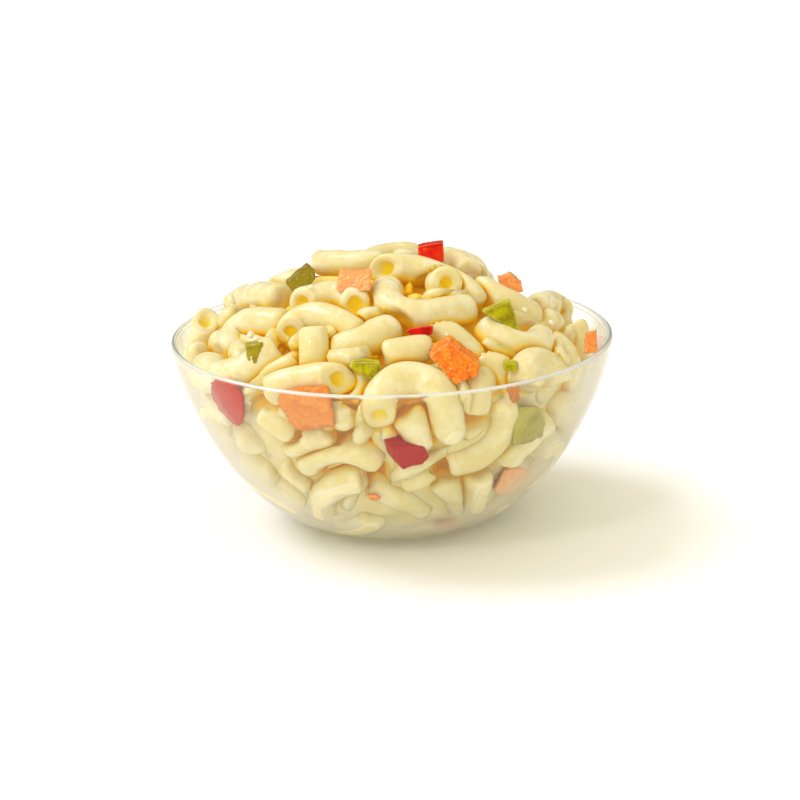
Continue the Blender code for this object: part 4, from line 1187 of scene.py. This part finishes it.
def pepper_material(name, skin, flesh, pale, dark):
    """Pepper: deep glossy skin on its outer face, lighter flesh on the cut sides, pale edges, and a painted
    shade set for each die.
    """
    material, tree, shader = new_material(name)
    mottle = cloud(tree, 300.0, 4.0, 0.6)
    inner = ramp(tree, mottle, [(0.32, skin), (0.6, flesh), (0.78, pale)])
    outer = ramp(tree, mottle, [(0.3, dark), (0.62, skin), (0.85, flesh)])
    base = mix(tree, own(tree, "skin"), inner, outer)
    base = mix(tree, grey_ramp(tree, own(tree, "edge"), (0.0, 0.65), (0.5, 0.0)), base, pale)
    # Painted shade: the die is darkened as a whole
    base = mix(tree, own(tree, "dark"), base, dark)
    connect(tree, shader, {
        "Base Color": base, "Normal": bump(tree, cloud(tree, 700.0, 3.0), 0.35, 0.25), "Roughness": 0.3,
        "Subsurface Weight": 0.1, "Subsurface Radius": (1.0, 0.3, 0.1), "Subsurface Scale": 1.0 * MM,
        "Coat Weight": 0.12, "Coat Roughness": 0.1, "Specular IOR Level": 0.1,
    })
    return material


def floor_material():
    material, tree, shader = new_material("studio_floor")
    connect(tree, shader, {"Base Color": (0.94, 0.93, 0.90), "Roughness": 0.9, "Specular IOR Level": 0.0})
    return material


def add_light(name, kind, source, **settings):
    """A light that shines from a place straight at the origin."""
    lamp = bpy.data.lights.new(name, kind)
    for setting, value in settings.items():
        setattr(lamp, setting, value)
    light = show(bpy.data.objects.new(name, lamp))
    light.location = source
    light.rotation_euler = Vector(source).to_track_quat("Z", "Y").to_euler()
    return light


def build_studio():
    """A plain white floor, a soft sun from the left and a little behind, and a pale sky all round."""
    half = FLOOR_SIZE / 2
    corners = [(-half, -half, 0), (half, -half, 0), (half, half, 0), (-half, half, 0)]
    floor = add_mesh("studio_floor", np.array(corners) / MM, [(0, 1, 2, 3)], floor_material())
    world = bpy.data.worlds.new("studio")
    world.use_nodes = True
    tree = world.node_tree
    mirrored = add_node(tree, "LightPath").outputs["Is Glossy Ray"]
    strength = grey_ramp(tree, mirrored, (0.0, WORLD_STRENGTH), (1.0, WORLD_STRENGTH * GLOSSY_WORLD_SHARE))
    connect(tree, tree.nodes["Background"], {"Color": WORLD_COLOUR, "Strength": strength})
    bpy.context.scene.world = world
    across = math.cos(SUN_ELEVATION)
    sun = (across * math.cos(SUN_AZIMUTH), across * math.sin(SUN_AZIMUTH), math.sin(SUN_ELEVATION))
    add_light("key", "SUN", sun, energy=SUN_STRENGTH, color=SUN_COLOUR, angle=SUN_SOFTNESS)
    fill = add_light("fill", "AREA", FILL_PLACE, energy=FILL_POWER, size=FILL_SIZE)
    fill.visible_glossy = False
    add_light("spark", "AREA", SPARK_PLACE, energy=SPARK_POWER, size=SPARK_SIZE)
    bpy.context.scene.view_settings.view_transform = "Standard"


def build_camera():
    """The camera where the photograph's was, looking slightly down at the bowl and rolled a little."""
    camera = bpy.data.cameras.new("photo_view")
    camera.lens = CAMERA_LENS
    camera.sensor_width = 36.0
    camera.clip_start = 0.01
    camera.clip_end = 20.0
    right = Vector(ACROSS)
    up = Vector(PLANE_UP)
    rolled_right = right * math.cos(CAMERA_ROLL) - up * math.sin(CAMERA_ROLL)
    rolled_up = right * math.sin(CAMERA_ROLL) + up * math.cos(CAMERA_ROLL)
    place_matrix = Matrix((rolled_right, rolled_up, Vector(TOWARDS_EYE))).transposed().to_4x4()
    place_matrix.translation = Vector(EYE) * MM
    viewer = show(bpy.data.objects.new("photo_view", camera))
    viewer.matrix_world = place_matrix
    bpy.context.scene.camera = viewer


def settle(piece, slot, *nodes):
    """Hang a piece under the root body, and hide the imported nodes that it stands in for."""
    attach(piece, "root")
    if nodes:
        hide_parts(*nodes)


def main():
    build_studio()
    build_camera()
    dice = [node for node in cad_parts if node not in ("glass_bowl", "macaroni_heap")]
    dice_middles = np.array([(low + high) / 2 for low, high in (corners_of(node) for node in dice)])
    placed = placed_macaroni()
    tubes = placed + lay(FILL_SEED, FILL_LAYERS, placed, dice_middles)
    print("macaroni that show:", len(tubes))
    under = lay(UNDER_SEED, UNDER_LAYERS, tubes, dice_middles, UNDER_CROWDING)
    print("macaroni underneath:", len(under))
    settle(heap_mesh(tubes, under, pasta_material()), "dressed_pasta", "macaroni_heap")
    settle(build_lumps(lump_material()), "dressed_pasta")
    settle(build_film(film_material()), "dressed_pasta")
    settle(build_bowl(glass_material()), "clear_glass", "glass_bowl")
    finishes = {
        "carrot": carrot_material(),
        "red_pepper": pepper_material("cut_red_pepper", *RED_PEPPER),
        "green_pepper": pepper_material("cut_green_pepper", *GREEN_PEPPER),
    }
    for node in dice:
        kind = next(kind for kind in finishes if node.startswith(kind))
        settle(build_die(node, kind, finishes[kind]), kind, node)


main()
